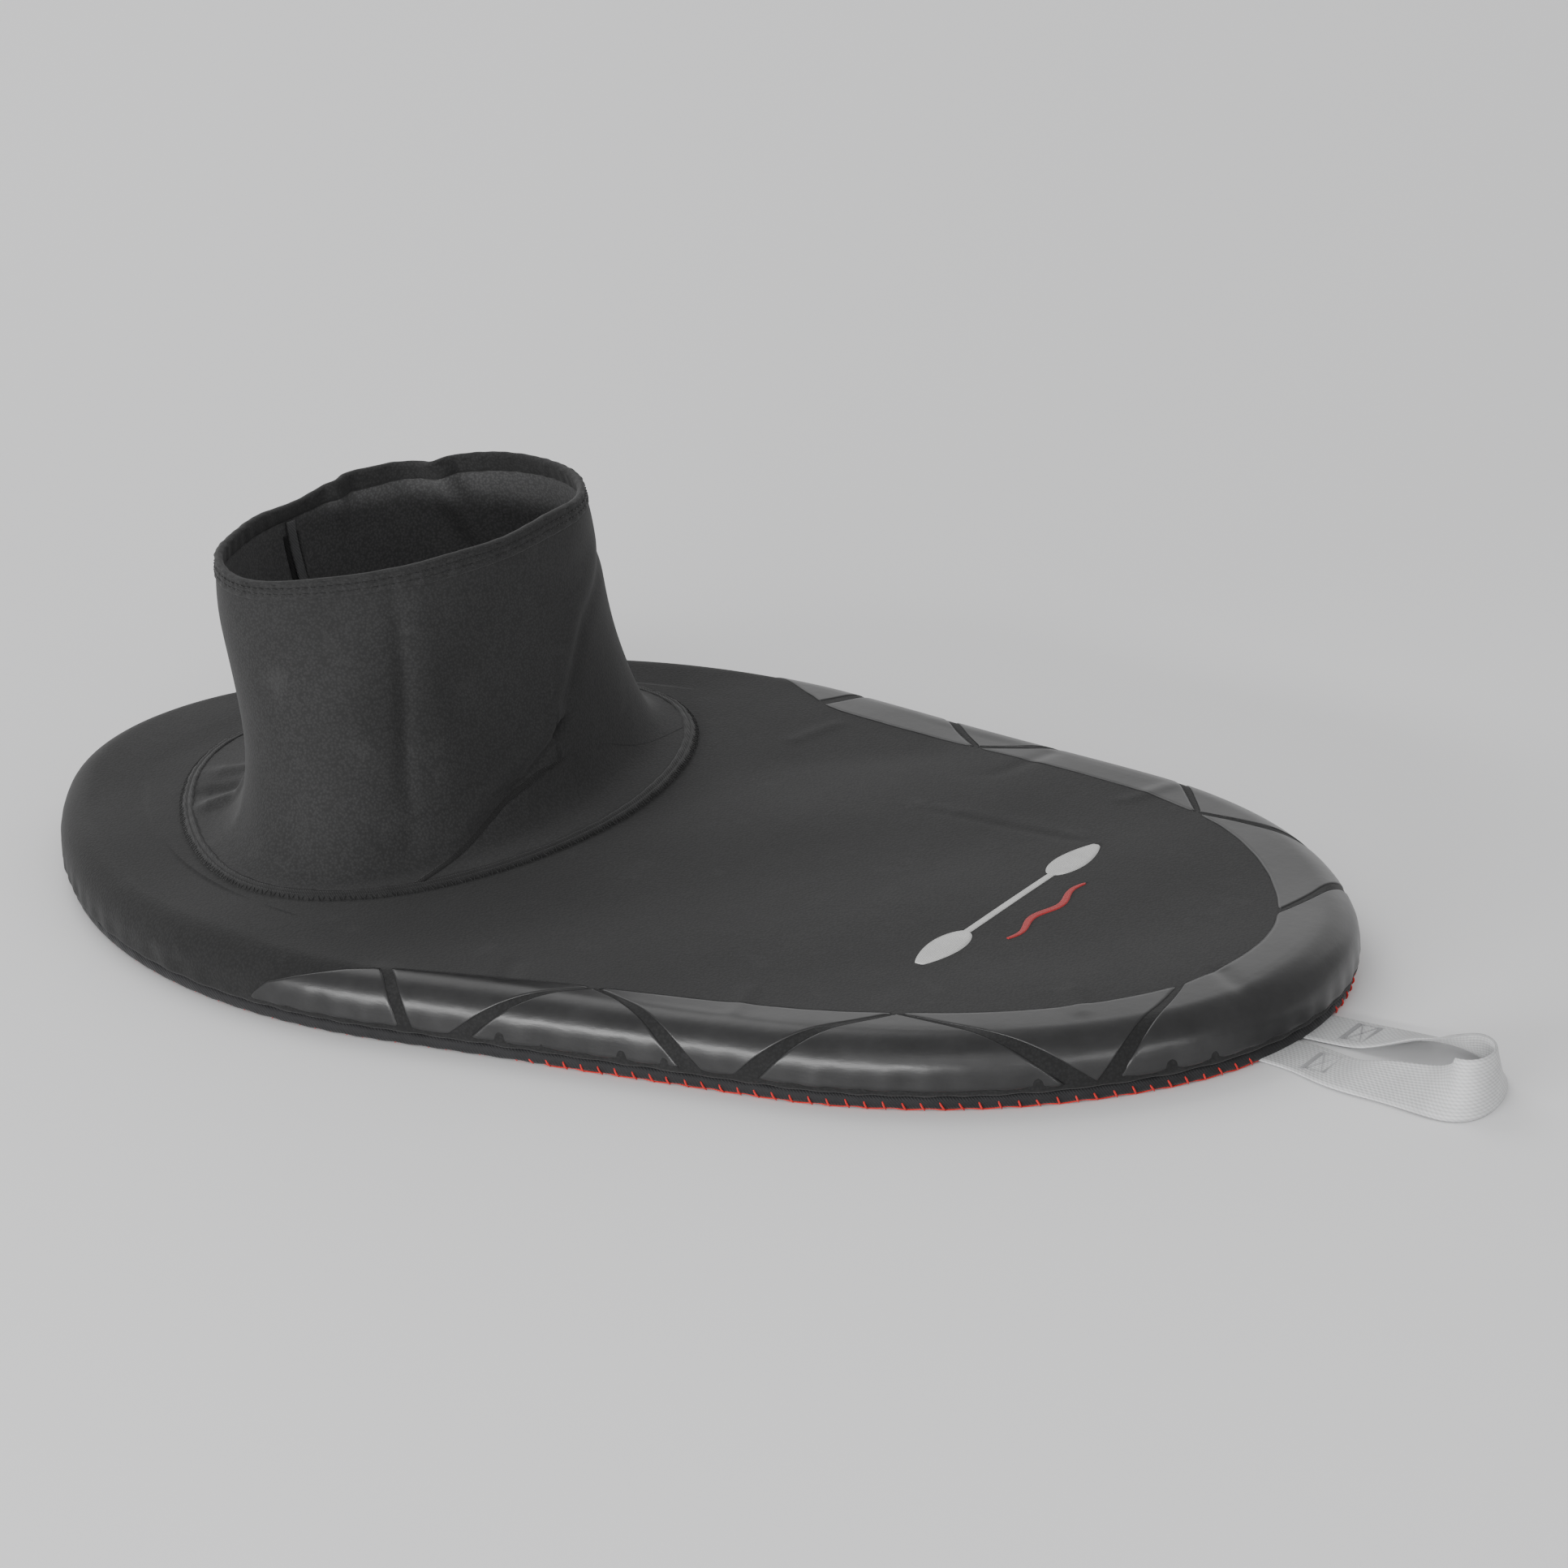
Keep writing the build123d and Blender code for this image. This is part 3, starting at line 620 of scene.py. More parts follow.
def deck_surface(u, off):
    """The deck from its foot, over the rim and in to the tunnel's base seam: (shares, places)."""
    ls = np.concatenate(
        [
            np.linspace(-TUCK_L, 0, 4)[:-1],
            np.linspace(0, TOP_L, int(18 * FINE) + 4)[:-1],
            np.linspace(TOP_L, TOP_L + 0.035, int(8 * FINE) + 3),
        ]
    )
    rim = skin(u[:, None], ls[None, :], off)
    start = rim[:, -1, :2]
    rel = start - centre
    r0 = np.hypot(rel[:, 0], rel[:, 1])
    theta = np.arctan2(rel[:, 1], rel[:, 0])
    r1 = base_radius(theta) - 0.008
    t = np.linspace(0, 1, int(44 * FINE) + 10)[1:]
    r = r0[:, None] + (r1 - r0)[:, None] * t[None, :]
    x = TUBE_X + np.cos(theta)[:, None] * r
    y = np.sin(theta)[:, None] * r
    near = np.clip(1 - (r - r1[:, None] - 0.008) / 0.035, 0, 1)  # 1 at the base seam, 0 out on the deck
    lift = deck_lift(x, y) * (1 - near * 0.9) + 0.0016 * near**2
    inner = np.stack([x, y, DECK_Z + lift + off], -1)
    return np.concatenate([rim, inner], 1)


shares = np.linspace(0, 1, int(900 * FINE) + 1)[:-1]
deck = two_sided(
    "deck_cloth",
    deck_surface(shares, 0.0),
    deck_surface(shares, -SKIN),
    [deck_mat],
    close_u=True,
)
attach(deck, "deck")
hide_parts("deck_panel")

# ---------------------------------------------------------------- hem with its cord channel
def hem_point(u, a, shrink):
    """Point of the hem's round section; a runs from the slit on its inner edge right round."""
    s = u * AROUND
    wave = 0.5 + 0.5 * np.sin(s * 320 + 2.0 * np.sin(s * 23))
    half_w, half_h = HEM_W / 2 - shrink, HEM_Z / 2 - shrink - 0.0004 * wave
    c, q = -np.cos(a), np.sin(a)
    d = HEM_INSET + HEM_W / 2 - half_w * np.sign(c) * np.abs(c) ** 0.75
    z = HEM_Z / 2 + half_h * np.sign(q) * np.abs(q) ** 0.75 + 0.0003 * wave
    p, n = edge(u)
    swell = 0.0005 * wave * np.maximum(c, 0)
    xy = p - n * (d - swell)[..., None]
    return np.concatenate([xy, z[..., None]], -1)


hem_u = np.linspace(0, 1, int(1300 * FINE) + 1)[:-1][:, None]
around = np.linspace(0.10, 2 * math.pi - 0.10, 27)[None, :]
uu, aa = np.broadcast_arrays(hem_u, around)
hem = two_sided("hem_cloth", hem_point(uu, aa, 0.0), hem_point(uu, aa, 0.0013), [hem_mat], close_u=True)
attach(hem, "deck")
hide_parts("hem_casing")


# ---------------------------------------------------------------- red stitches and the running thread
def in_notch(p):
    """Whether a point of the outline is where the loop's roots pass through the hem."""
    return (p[..., 0] > 0.3) & (p[..., 1] > web_lo_root - 0.002) & (p[..., 1] < web_hi_root + 0.002)


def tucked(u):
    """How far the red stitching turns in under the hem: not at all at the bow, fully round the stern."""
    return np.clip((np.minimum(u, 1 - u) - 0.215) / 0.02, 0, 1)


web_lo_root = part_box("loop_root_right")[0].y
web_hi_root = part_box("loop_root_left")[1].y
count = int(AROUND / 0.011)  # one stitch every 11 mm
su = (np.arange(count) + 0.5) / count
p, n = edge(su)
keep = ~in_notch(p)
su, p, n = su[keep], p[keep], n[keep]
rng = np.random.default_rng(7)
jitter = rng.uniform(-1, 1, (len(su), 3))
low_p, low_n = edge(su + (0.0012 + 0.0006 * jitter[:, 0]) / AROUND)
high_p, high_n = edge(su - (0.0012 + 0.0006 * jitter[:, 1]) / AROUND)
under = tucked(su)[:, None]
starts = np.concatenate([low_p - low_n * (0.0034 + 0.0036 * under), 0.0006 + 0.0001 * under], 1)
tops = (0.0058 + 0.0005 * jitter[:, 2])[:, None] * (1 - under) + 0.0016 * under
ends = np.concatenate([high_p - high_n * (0.0026 + 0.0020 * under), tops], 1)
ups = np.concatenate([n * (1 - under), under], 1)
whip = strip_stitches("red_whip_stitches", starts, ends, ups, 0.00060, [red_mat], 1.3)

thread_u = np.linspace(0, 1, int(1600 * FINE) + 1)[:-1]
p, n = edge(thread_u)
s = thread_u * AROUND
radius = 0.00042
inset = 0.0043 + 0.0045 * tucked(thread_u) + 0.0002 * np.sin(s * 571)
line = np.concatenate([p - n * inset[:, None], (0.0012 + 0.0004 * np.sin(s * 286))[:, None]], 1)
k = np.arange(6) * math.pi / 3
ring = line[:, None, :] + radius * (
    np.concatenate([n, np.zeros((len(n), 1))], 1)[:, None, :] * np.cos(k)[None, :, None]
    + np.array([0, 0, 1.0])[None, None, :] * np.sin(k)[None, :, None]
)
keep = ~in_notch(p)
first = int(np.argmax(keep & ~np.roll(keep, 1)))  # the thread starts just past the loop's notch
order = (np.arange(len(keep)) + first) % len(keep)
order = order[keep[order]]
runner = grid("red_running_thread", ring[order], [red_mat], close_v=True, caps=True)
for o in (whip, runner):
    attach(o, "deck")
    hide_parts("hem_stitching")

# ---------------------------------------------------------------- rubber coating in patches
# place along the deck, and how far up the section the band reaches there, to port and to starboard
BAND = [
    (-0.050, 0.0600, 0.0385), (-0.020, 0.0640, 0.0400), (0.020, 0.0630, 0.0440), (0.088, 0.0600, 0.0510),
    (0.180, 0.0600, 0.0575), (0.278, 0.0610, 0.0632), (0.374, 0.0660, 0.0630), (0.425, 0.0680, 0.0640),
    (0.440, 0.0665, 0.0665),
]
# how the band narrows towards the stern: share round the outline, and share of its full width
TAIL = [(0.2655, 1.0), (0.2760, 0.84), (0.2868, 0.63), (0.2990, 0.38), (0.3048, 0.10)]
BOTTOM_L = 0.0012  # the coating's lower edge, up from the rim's foot


def coat_width(u):
    """Length of the coating's band up the section at share u."""
    p, _ = edge(u)
    xs, port, starboard = np.array(BAND).T
    w = 0.5 + 0.5 * np.tanh(p[..., 1] / 0.02)
    full = w * np.interp(p[..., 0], xs, port) + (1 - w) * np.interp(p[..., 0], xs, starboard)
    away = np.minimum(np.mod(u, 1), 1 - np.mod(u, 1))
    us, shares = np.array(TAIL).T
    return full * np.interp(away, us, shares)


# stripe: share round the outline at the band's inner edge and at its foot, and half widths there
STRIPES = [
    (0.0370, 0.0680, 0.0030, 0.0044),
    (0.1235, 0.0752, 0.0023, 0.0050),
    (0.1235, 0.1605, 0.0023, 0.0050),
    (0.2085, 0.1760, 0.0023, 0.0048),
    (0.2085, 0.2410, 0.0023, 0.0050),
    (0.2655, 0.2570, 0.0034, 0.0044),
]


def stripe_line(k, b, side):
    """Share u of one edge of stripe k at place b from the band's inner edge to its foot."""
    a, z, w0, w1 = STRIPES[k]
    mid = a + (z - a) * (b + 0.11 * np.sin(math.pi * b))
    half = (w0 + (w1 - w0) * b) * math.hypot(1, abs(z - a) * AROUND / 0.07)
    return mid + side * half / AROUND


def coating_patch(name, left, right, mirrored, node_name):
    """One patch of the coating between two edges, each a function of b that gives share u."""
    rows = int(34 * FINE) + 10
    b = np.linspace(0, 1, rows)
    ul, ur = left(b), right(b)
    cols = int(np.max(ur - ul) * AROUND / 0.0022 * FINE) + 24
    a = np.linspace(0, 1, cols)
    mid = (ul + ur) / 2
    ul, ur = np.minimum(ul, mid - 0.00006), np.maximum(ur, mid + 0.00006)
    u = ul[:, None] + (ur - ul)[:, None] * a[None, :]
    if mirrored:
        u = -u
    top = coat_width(u)
    # the corners of each patch are a little rounded
    wide = (ur - ul)[:, None] * AROUND
    corner = np.exp(-(np.minimum(a, 1 - a)[None, :] * wide / 0.002)) * 0.0014
    lo = BOTTOM_L + corner * 0.6
    hi = top - corner
    wob = 0.0002 * np.sin(u * AROUND * 70) + 0.0001 * np.sin(u * AROUND * 190 + 1)
    l = (hi + wob) + (lo - hi - wob) * b[:, None]
    near = np.minimum.reduce(
        [
            np.minimum(a, 1 - a)[None, :] * wide,
            np.broadcast_to((hi - l), l.shape),
            np.broadcast_to((l - lo), l.shape),
        ]
    )
    thick = 0.0002 + 0.0004 * np.clip(near / 0.0012, 0, 1) ** 0.6
    outer = skin(u, l, thick)
    inner = skin(u, l, -0.0003)
    ob = two_sided(name, outer, inner, [coat_mat], merge=0)
    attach(ob, "deck")
    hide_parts(node_name)
    return ob


def band_end(b):
    """The band runs out to a point low on the rim."""
    return np.full_like(b, TAIL[-1][0])


for tag, mirrored in (("left", False), ("right", True)):
    for i in range(6):
        start = lambda b, k=i: stripe_line(k, b, 1)
        end = (lambda b, k=i + 1: stripe_line(k, b, -1)) if i < 5 else band_end
        coating_patch(f"coating_{tag}_{i + 1}_rubber", start, end, mirrored, f"coating_{tag}_{i + 1}")
coating_patch(
    "coating_bow_rubber",
    lambda b: -stripe_line(0, b, -1),
    lambda b: stripe_line(0, b, -1),
    False,
    "coating_bow",
)

# ---------------------------------------------------------------- tunnel cloth
gusset_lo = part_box("front_gusset")[0]
# height over the base seam, and how far forward of its foot the gusset's seam is there
SEAM = [(0, 0), (0.0050, 0.0012), (0.0195, 0.0038), (0.0290, 0.0068), (0.0370, 0.0095), (0.0480, 0.0110)]


def seam_phi(v):
    """Angle at which the slanted seam crosses the level at share v."""
    out = []
    phis = np.linspace(0, math.pi, 721)
    for value in np.atleast_1d(v):
        p = tube(phis, value)
        want = gusset_lo.x + np.interp(p[:, 2] - BASE_Z, *np.array(SEAM).T)
        gap = p[:, 0] - want  # above 0 on the bow side of the seam
        k = np.nonzero(gap <= 0)[0]
        if len(k) == 0 or k[0] == 0:
            out.append(0.0)
        else:
            j = k[0]
            f = gap[j - 1] / (gap[j - 1] - gap[j])
            out.append(phis[j - 1] + f * (phis[j] - phis[j - 1]))
    return np.array(out)


rows = int(110 * FINE) + 10
vs = np.linspace(0, 1, rows) ** 0.9
vs = np.unique(np.concatenate([vs, np.linspace(0, 0.25, int(30 * FINE) + 4)]))
phi_s = seam_phi(vs)
head = int(np.argmax(phi_s <= 1e-6))  # the level where the gusset comes to its point
WALL = 0.003
OVERLAP = 0.014  # angle by which the gusset runs on under the tube's cloth


def paint_inside_lighter(ob):
    """Give the faces that look in at the tunnel's middle a lighter copy of the tunnel's neoprene: painted
    light inside the tube.
    """
    ob.data.materials.append(inside_painted_light_mat)
    for face in ob.data.polygons:
        x, y = face.center.x - TUBE_X, face.center.y
        if face.normal.x * x + face.normal.y * y < -0.2 * math.hypot(x, y):
            face.material_index = 1


def cloth_between(name, lo, hi, vrows, cols, nodes_for, sunk=0.0):
    """The tunnel's cloth between two edges, given as an angle at each level."""
    a = np.linspace(0, 1, cols)
    phi = lo[None, :] + (hi - lo)[None, :] * a[:, None]
    vv = np.broadcast_to(vrows[None, :], phi.shape)
    outer, n, _, _ = tube_frame(phi, vv)
    if sunk:  # a hair under the tube's cloth, a little more along the seam that shows
        sunk = 0.00004 + sunk / (1 + np.exp((phi - 0.05) / 0.03))[..., None]
    outer = outer - n * sunk
    inner = outer - n * (WALL - 2 * sunk)
    ob = two_sided(name, outer, inner, [tube_mat], merge=2e-5)
    # inward faces get the painted-lighter neoprene: painted light inside the tube
    paint_inside_lighter(ob)
    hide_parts(*nodes_for)
    return ob


back_cloth = cloth_between(
    "tunnel_cloth", phi_s, 2 * math.pi - phi_s, vs, int(320 * FINE) + 40,
    ["tunnel_tube", "tunnel_flex", "tunnel_flange"],
)
front_cloth = cloth_between(
    "gusset_cloth", -phi_s[: head + 2] - OVERLAP, phi_s[: head + 2] + OVERLAP, vs[: head + 2],
    int(140 * FINE) + 30, ["front_gusset"], 0.0003,
)

# gusset seam: a low rounded cord of turned cloth, with stitches across it
seam_rows = np.linspace(0.015, vs[head - 1], int(150 * FINE) + 20)
ph = seam_phi(seam_rows)
path_phi = np.concatenate([ph, -ph[::-1]])
path_v = np.concatenate([seam_rows, seam_rows[::-1]])
p, n, _, _ = tube_frame(path_phi, path_v)
travel = np.gradient(p, axis=0)
travel /= np.linalg.norm(travel, axis=1, keepdims=True)
side = np.cross(n, travel)
SEAM_HALF = 0.0022
# pulled down into the cloth on the port side, where the seam hardly shows
show = 1 / (1 + np.exp((path_phi - 0.10) / 0.05))
prof = np.array(
    [(-1.0, -0.15), (-0.85, 0.10), (-0.5, 0.42), (-0.18, 0.62), (0, 0.40),
     (0.18, 0.62), (0.5, 0.42), (0.85, 0.10), (1.0, -0.15), (0, -0.5)]
)
rise = prof[:, 1][None, :] * 0.0010 - 0.0016 * (1 - show)[:, None]
across = side[:, None, :] * (prof[:, 0] * SEAM_HALF)[None, :, None]
seam_grid = p[:, None, :] + across + n[:, None, :] * rise[..., None]
seam = grid("gusset_seam_ridge", seam_grid, [seam_mat], close_v=True, caps=True)
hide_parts("gusset_seam_tape")

step = np.concatenate([[0], np.cumsum(np.linalg.norm(np.diff(p, axis=0), axis=1))])
marks = np.arange(float(np.interp(0.05, -path_phi, step)), step[-1] - 0.004, 0.0036)
at = np.array([np.interp(marks, step, c) for c in (*p.T, *n.T, *travel.T, *side.T)]).T
pc, nc, tc, sc = at[:, :3], at[:, 3:6], at[:, 6:9], at[:, 9:12]
sgn = np.where(np.arange(len(marks)) % 2 == 0, 1.0, -1.0)[:, None]
slant = sc * SEAM_HALF + tc * 0.0010 * sgn
seam_st = strip_stitches(
    "gusset_seam_stitches", pc - slant + nc * 0.0001, pc + slant + nc * 0.0001, nc, 0.00022, [black_mat], 2.0
)

# ---------------------------------------------------------------- base seam with its double ridge and zigzag
phi = np.linspace(0, 2 * math.pi, int(700 * FINE) + 1)[:-1]
p0 = tube(phi, 0.0)
t0 = np.roll(p0, -1, 0) - np.roll(p0, 1, 0)
t0 /= np.linalg.norm(t0, axis=1, keepdims=True)
out = np.cross(t0, [0, 0, 1.0])
out /= np.linalg.norm(out, axis=1, keepdims=True)
prof = np.array(
    [(-0.0022, 0.0028), (-0.0012, 0.0034), (0.0002, 0.0034), (0.0011, 0.0028),
     (0.0017, 0.0023), (0.0024, 0.0027), (0.0034, 0.0027), (0.0044, 0.0020),
     (0.0052, 0.0008), (0.0055, -0.0006), (0.0030, -0.0014), (-0.0022, -0.0010)]
)
s = np.cumsum(np.linalg.norm(np.roll(p0, -1, 0) - p0, axis=1))
rough_edge = 1 + 0.03 * np.sin(s * 410) + 0.03 * np.sin(s * 133)
base = np.zeros((len(phi), len(prof), 3))
base[:, :, :2] = p0[:, None, :2] + out[:, None, :2] * (prof[:, 0][None, :] * rough_edge[:, None])[..., None]
base[:, :, 2] = DECK_Z + 0.0016 + prof[:, 1][None, :] * rough_edge[:, None]
base_tape = grid("base_seam_ridge", base, [tape_mat], close_u=True, close_v=True)
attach(base_tape, "deck")
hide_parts("base_seam_tape")

marks = np.arange(0, s[-1], 0.0030)
begun = np.concatenate([[0], s[:-1]])
at = np.array([np.interp(marks, begun, c) for c in (*p0.T, *t0.T, *out.T)]).T
pc, tc, oc = at[:, :3], at[:, 3:6], at[:, 6:9]
z_in, z_out = DECK_Z + 0.0042, DECK_Z + 0.0018
sgn = np.where(np.arange(len(marks)) % 2 == 0, 1.0, -1.0)[:, None]
a_pt = pc + oc * 0.0030 - tc * 0.0008 * sgn
b_pt = pc + oc * 0.0072 + tc * 0.0008 * sgn
a_pt[:, 2], b_pt[:, 2] = z_in, z_out
zig_up = oc * 0.3 + np.array([0, 0, 1.0])
zig = strip_stitches("base_seam_zigzag", a_pt, b_pt, zig_up, 0.00028, [black_mat], 1.4)
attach(zig, "deck")
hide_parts("base_seam_stitching")

tape_prof = np.array([(0.010, 0.0), (-0.008, 0.0), (-0.008, -0.001), (0.010, -0.001)])
under = np.zeros((len(phi), 4, 3))
under[:, :, :2] = p0[:, None, :2] + out[:, None, :2] * tape_prof[:, 0][None, :, None]
under[:, :, 2] = DECK_Z - SKIN + 0.0006 + tape_prof[:, 1][None, :]
under_tape = grid("base_seam_under_tape", under, [tape_mat], close_u=True, close_v=True)
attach(under_tape, "deck")
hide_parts("base_seam_inner_tape")

# ---------------------------------------------------------------- top hem: turned edge, rolled lip, stitches
V_HEM = v_of_height(LIP_Z - 0.0105)
phi = np.linspace(0, 2 * math.pi, int(560 * FINE) + 1)[:-1]
loops = [tube_frame(phi, v) for v in np.linspace(V_HEM, 1.0, 9)]
ruffle = 0.00018 * np.sin(phi * 61) + 0.00014 * np.sin(phi * 37 + 1)
cols = []
for k, (p, n, _, _) in enumerate(loops):
    f = k / (len(loops) - 1)
    puff = 0.0002 + 0.0008 * math.sin(math.pi * min(1.0, 0.25 + f)) ** 0.5
    puff -= 0.0004 * (bell(f - 0.38, 0.07) + bell(f - 0.70, 0.07))  # drawn in by the two rows of stitches
    cols.append(p + n * (puff * (0.3 if k == 0 else 1) + ruffle)[:, None])
p, n, _, dv = loops[-1]
for a in np.radians(np.linspace(15, 165, 8)):
    roll = -WALL / 2 + (WALL / 2 + 0.0012) * math.cos(a) + ruffle
    cols.append(p + n * roll[:, None] + dv * (0.0022 * math.sin(a)))
for k, (p, n, _, _) in list(enumerate(loops))[::-1]:
    cols.append(p - n * (WALL + (0.0003 if k == 0 else 0.0012) + ruffle)[:, None])
cols.append(loops[0][0] - loops[0][1] * (WALL * 0.5))
top_hem = grid("top_hem_cloth", np.stack(cols, 1), [tube_mat], close_u=True, close_v=True)
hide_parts("tunnel_top_hem")

rows_made = []
for name, drop in (("upper", 0.0030), ("lower", 0.0065)):
    v = v_of_height(LIP_Z - drop)
    fine = np.linspace(0, 2 * math.pi, 1201)
    pf = tube(fine, v)
    s = np.concatenate([[0], np.cumsum(np.linalg.norm(np.diff(pf, axis=0), axis=1))])
    n_st = int(s[-1] / 0.0052)
    a0 = np.interp((np.arange(n_st) + 0.12) * s[-1] / n_st, s, fine)
    a1 = np.interp((np.arange(n_st) + 0.80) * s[-1] / n_st, s, fine)
    pa, na, _, _ = tube_frame(a0, np.full(n_st, v))
    pb, nb, _, _ = tube_frame(a1, np.full(n_st, v))
    starts, ends = pa + na * 0.0009, pb + nb * 0.0009
    o = strip_stitches(f"top_{name}_row_stitches", starts, ends, na, 0.00030, [black_mat], 1.2)
    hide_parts(f"top_stitching_{name}")
    rows_made.append(o)

# ---------------------------------------------------------------- inner closing seam and its hanging tab
tape_lo, tape_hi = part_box("back_seam_tape")
tab_lo, tab_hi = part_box("hang_tab")


def inner_strip(name, width, z0, z1, depth, thick, mat, node_name, loose=0.0):
    """A strip down the inside of the tunnel's stern wall, over the closing seam."""
    mid = math.pi - 0.065
    wall_r = 0.13
    vv = np.linspace(v_of_height(z0), v_of_height(z1), int(40 * FINE) + 10)
    w = np.linspace(-0.5, 0.5, 9)
    f = np.linspace(0, 1, len(vv))
    pts_in, pts_out = [], []
    for k in w:
        q, qn, _, _ = tube_frame(np.full(len(vv), mid) + k * width / wall_r, vv)
        edge_drop = 0.4 * thick * abs(2 * k) ** 4
        off = WALL + depth + loose * (1 - f) ** 2
        pts_in.append(q - qn * (off + thick - edge_drop)[:, None])
        pts_out.append(q - qn * (off - 0.0002)[:, None])
    o = two_sided(name, np.stack(pts_in, 1), np.stack(pts_out, 1), [mat], merge=0)
    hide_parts(node_name)
    return o


closing = inner_strip(
    "closing_seam_tape", 0.014, tape_lo.z, tape_hi.z - 0.004, 0.0, 0.0010, tape_mat, "back_seam_tape"
)
tab = inner_strip(
    "hanging_tab", 0.007, tab_lo.z, tab_hi.z + 0.010, 0.0010, 0.0014, tab_mat, "hang_tab", 0.002
)

tunnel_bend = [back_cloth, front_cloth, seam, seam_st, top_hem, closing, tab, *rows_made]
for o in tunnel_bend:
    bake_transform(o)

# ---------------------------------------------------------------- grab loop
root_lo, root_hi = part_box("loop_root_left")
WEB_W, WEB_T, WEB_Z = root_hi.y - root_lo.y, root_hi.z - root_lo.z, root_lo.z
# the lower edge's place and the webbing's turn from flat, out along one leg and back along the other
NEAR, FAR = web_lo_root, web_hi_root
STATIONS = [
    (0.402, NEAR, 0), (0.430, NEAR - 0.001, 0), (0.4513, NEAR - 0.005, 0), (0.466, NEAR - 0.011, 2),
    (0.482, NEAR - 0.016, 7), (0.498, NEAR - 0.018, 13), (0.514, NEAR - 0.019, 18),
    (0.532, NEAR - 0.022, 24), (0.549, NEAR - 0.025, 38), (0.562, NEAR - 0.025, 64),
    (0.5715, NEAR - 0.019, 84), (0.5762, NEAR - 0.008, 92), (0.5762, -0.042, 90),
    (0.573, -0.027, 76), (0.566, -0.012, 58), (0.555, 0.001, 44), (0.541, FAR - 0.011, 34),
    (0.526, FAR - 0.005, 26), (0.509, FAR - 0.001, 21), (0.492, FAR, 12), (0.476, FAR, 3),
    (0.466, FAR, 0), (0.4513, FAR, 0), (0.430, FAR, 0), (0.402, FAR, 0),
]
st = smooth_keys(STATIONS, int(420 * FINE), 8 * FINE)
tau = np.radians(np.clip(st[:, 2], 0, 120))
travel = np.gradient(st[:, :2], axis=0)
travel /= np.linalg.norm(travel, axis=1, keepdims=True)
left = np.stack([-travel[:, 1], travel[:, 0]], -1)
wide = np.concatenate([left * np.cos(tau)[:, None], np.sin(tau)[:, None]], 1)
foot = np.concatenate([st[:, :2], (WEB_Z + WEB_T / 2 * np.abs(np.cos(tau)))[:, None]], 1)
mid = foot + wide * WEB_W / 2
t3 = np.gradient(mid, axis=0)
t3 /= np.linalg.norm(t3, axis=1, keepdims=True)
wide -= t3 * (wide * t3).sum(1, keepdims=True)
wide /= np.linalg.norm(wide, axis=1, keepdims=True)
face = np.cross(t3, wide)
length = np.concatenate([[0], np.cumsum(np.linalg.norm(np.diff(mid, axis=0), axis=1))])
k = np.linspace(-1, 1, 25)
edge_round = (1 - np.abs(k) ** 10) ** 0.5
selvedge = 0.12 * np.exp(-(((np.abs(k) - 0.88) / 0.06) ** 2))
upper = (edge_round * (0.86 + selvedge)) * WEB_T / 2
back_k = k[::-1][1:-1]
over = np.concatenate([k, back_k]) * WEB_W / 2  # places across the ribbon, there and back
rise = np.concatenate([upper, -upper[::-1][1:-1]])
free = np.clip((mid[:, 0] - 0.48) / 0.02, 0, 1)  # 0 at the sewn roots
cup = 0.0009 * (np.sin(length * 95) * free)[:, None] * (1 - (over / (WEB_W / 2)) ** 2)[None, :]
ribbon = mid[:, None, :] + wide[:, None, :] * over[None, :, None] + face[:, None, :] * (rise + cup)[..., None]
uv = np.stack(np.broadcast_arrays(length[:, None], (over + np.where(rise < 0, 0.1, 0.0))[None, :]), -1)
loop = grid("grab_loop_ribbon", ribbon, [web_mat], close_v=True, caps=True, uv=uv)
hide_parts("grab_loop_webbing", "loop_root_left", "loop_root_right")
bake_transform(loop)

for tag in ("left", "right"):
    lo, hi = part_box(f"bar_tack_{tag}")
    if tag == "right":  # the near leg swings out a little under its stitches
        lo, hi = lo - Vector((0, 0.008, 0)), hi - Vector((0, 0.008, 0))
    z = WEB_Z + WEB_T + 0.0001
    a, b = [], []
    for y in np.arange(lo.y, hi.y + 1e-5, 0.0009):
        for x in (lo.x, hi.x - 0.0032):
            a.append((x, y, z))
            b.append((x + 0.0032, y + 0.0004, z))
    for x in np.arange(lo.x + 0.003, hi.x - 0.003, 0.0024):
        for y in (lo.y + 0.0006, hi.y - 0.0006):
            a.append((x, y, z))
            b.append((x + 0.0021, y, z))
    for f in np.linspace(0, 0.92, 12):
        for s0 in (1, -1):
            x0, x1 = lo.x + 0.003, hi.x - 0.003
            ya, yb = (lo.y, hi.y) if s0 > 0 else (hi.y, lo.y)
            a.append((x0 + (x1 - x0) * f, ya + (yb - ya) * f, z))
            b.append((x0 + (x1 - x0) * (f + 0.07), ya + (yb - ya) * (f + 0.07), z))
    a, b = np.array(a), np.array(b)
    o = strip_stitches(f"box_tack_{tag}", a, b, np.tile([0, 0, 1.0], (len(a), 1)), 0.00036, [grey_mat], 1.0)
    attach(o, "grab_loop")
    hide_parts(f"bar_tack_{tag}")

for name, mat in (("loop_anchor_patch", hem_mat), ("shock_cord", cord_mat), ("cord_splice", grey_mat)):
    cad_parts[name].data.materials.clear()
    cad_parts[name].data.materials.append(mat)


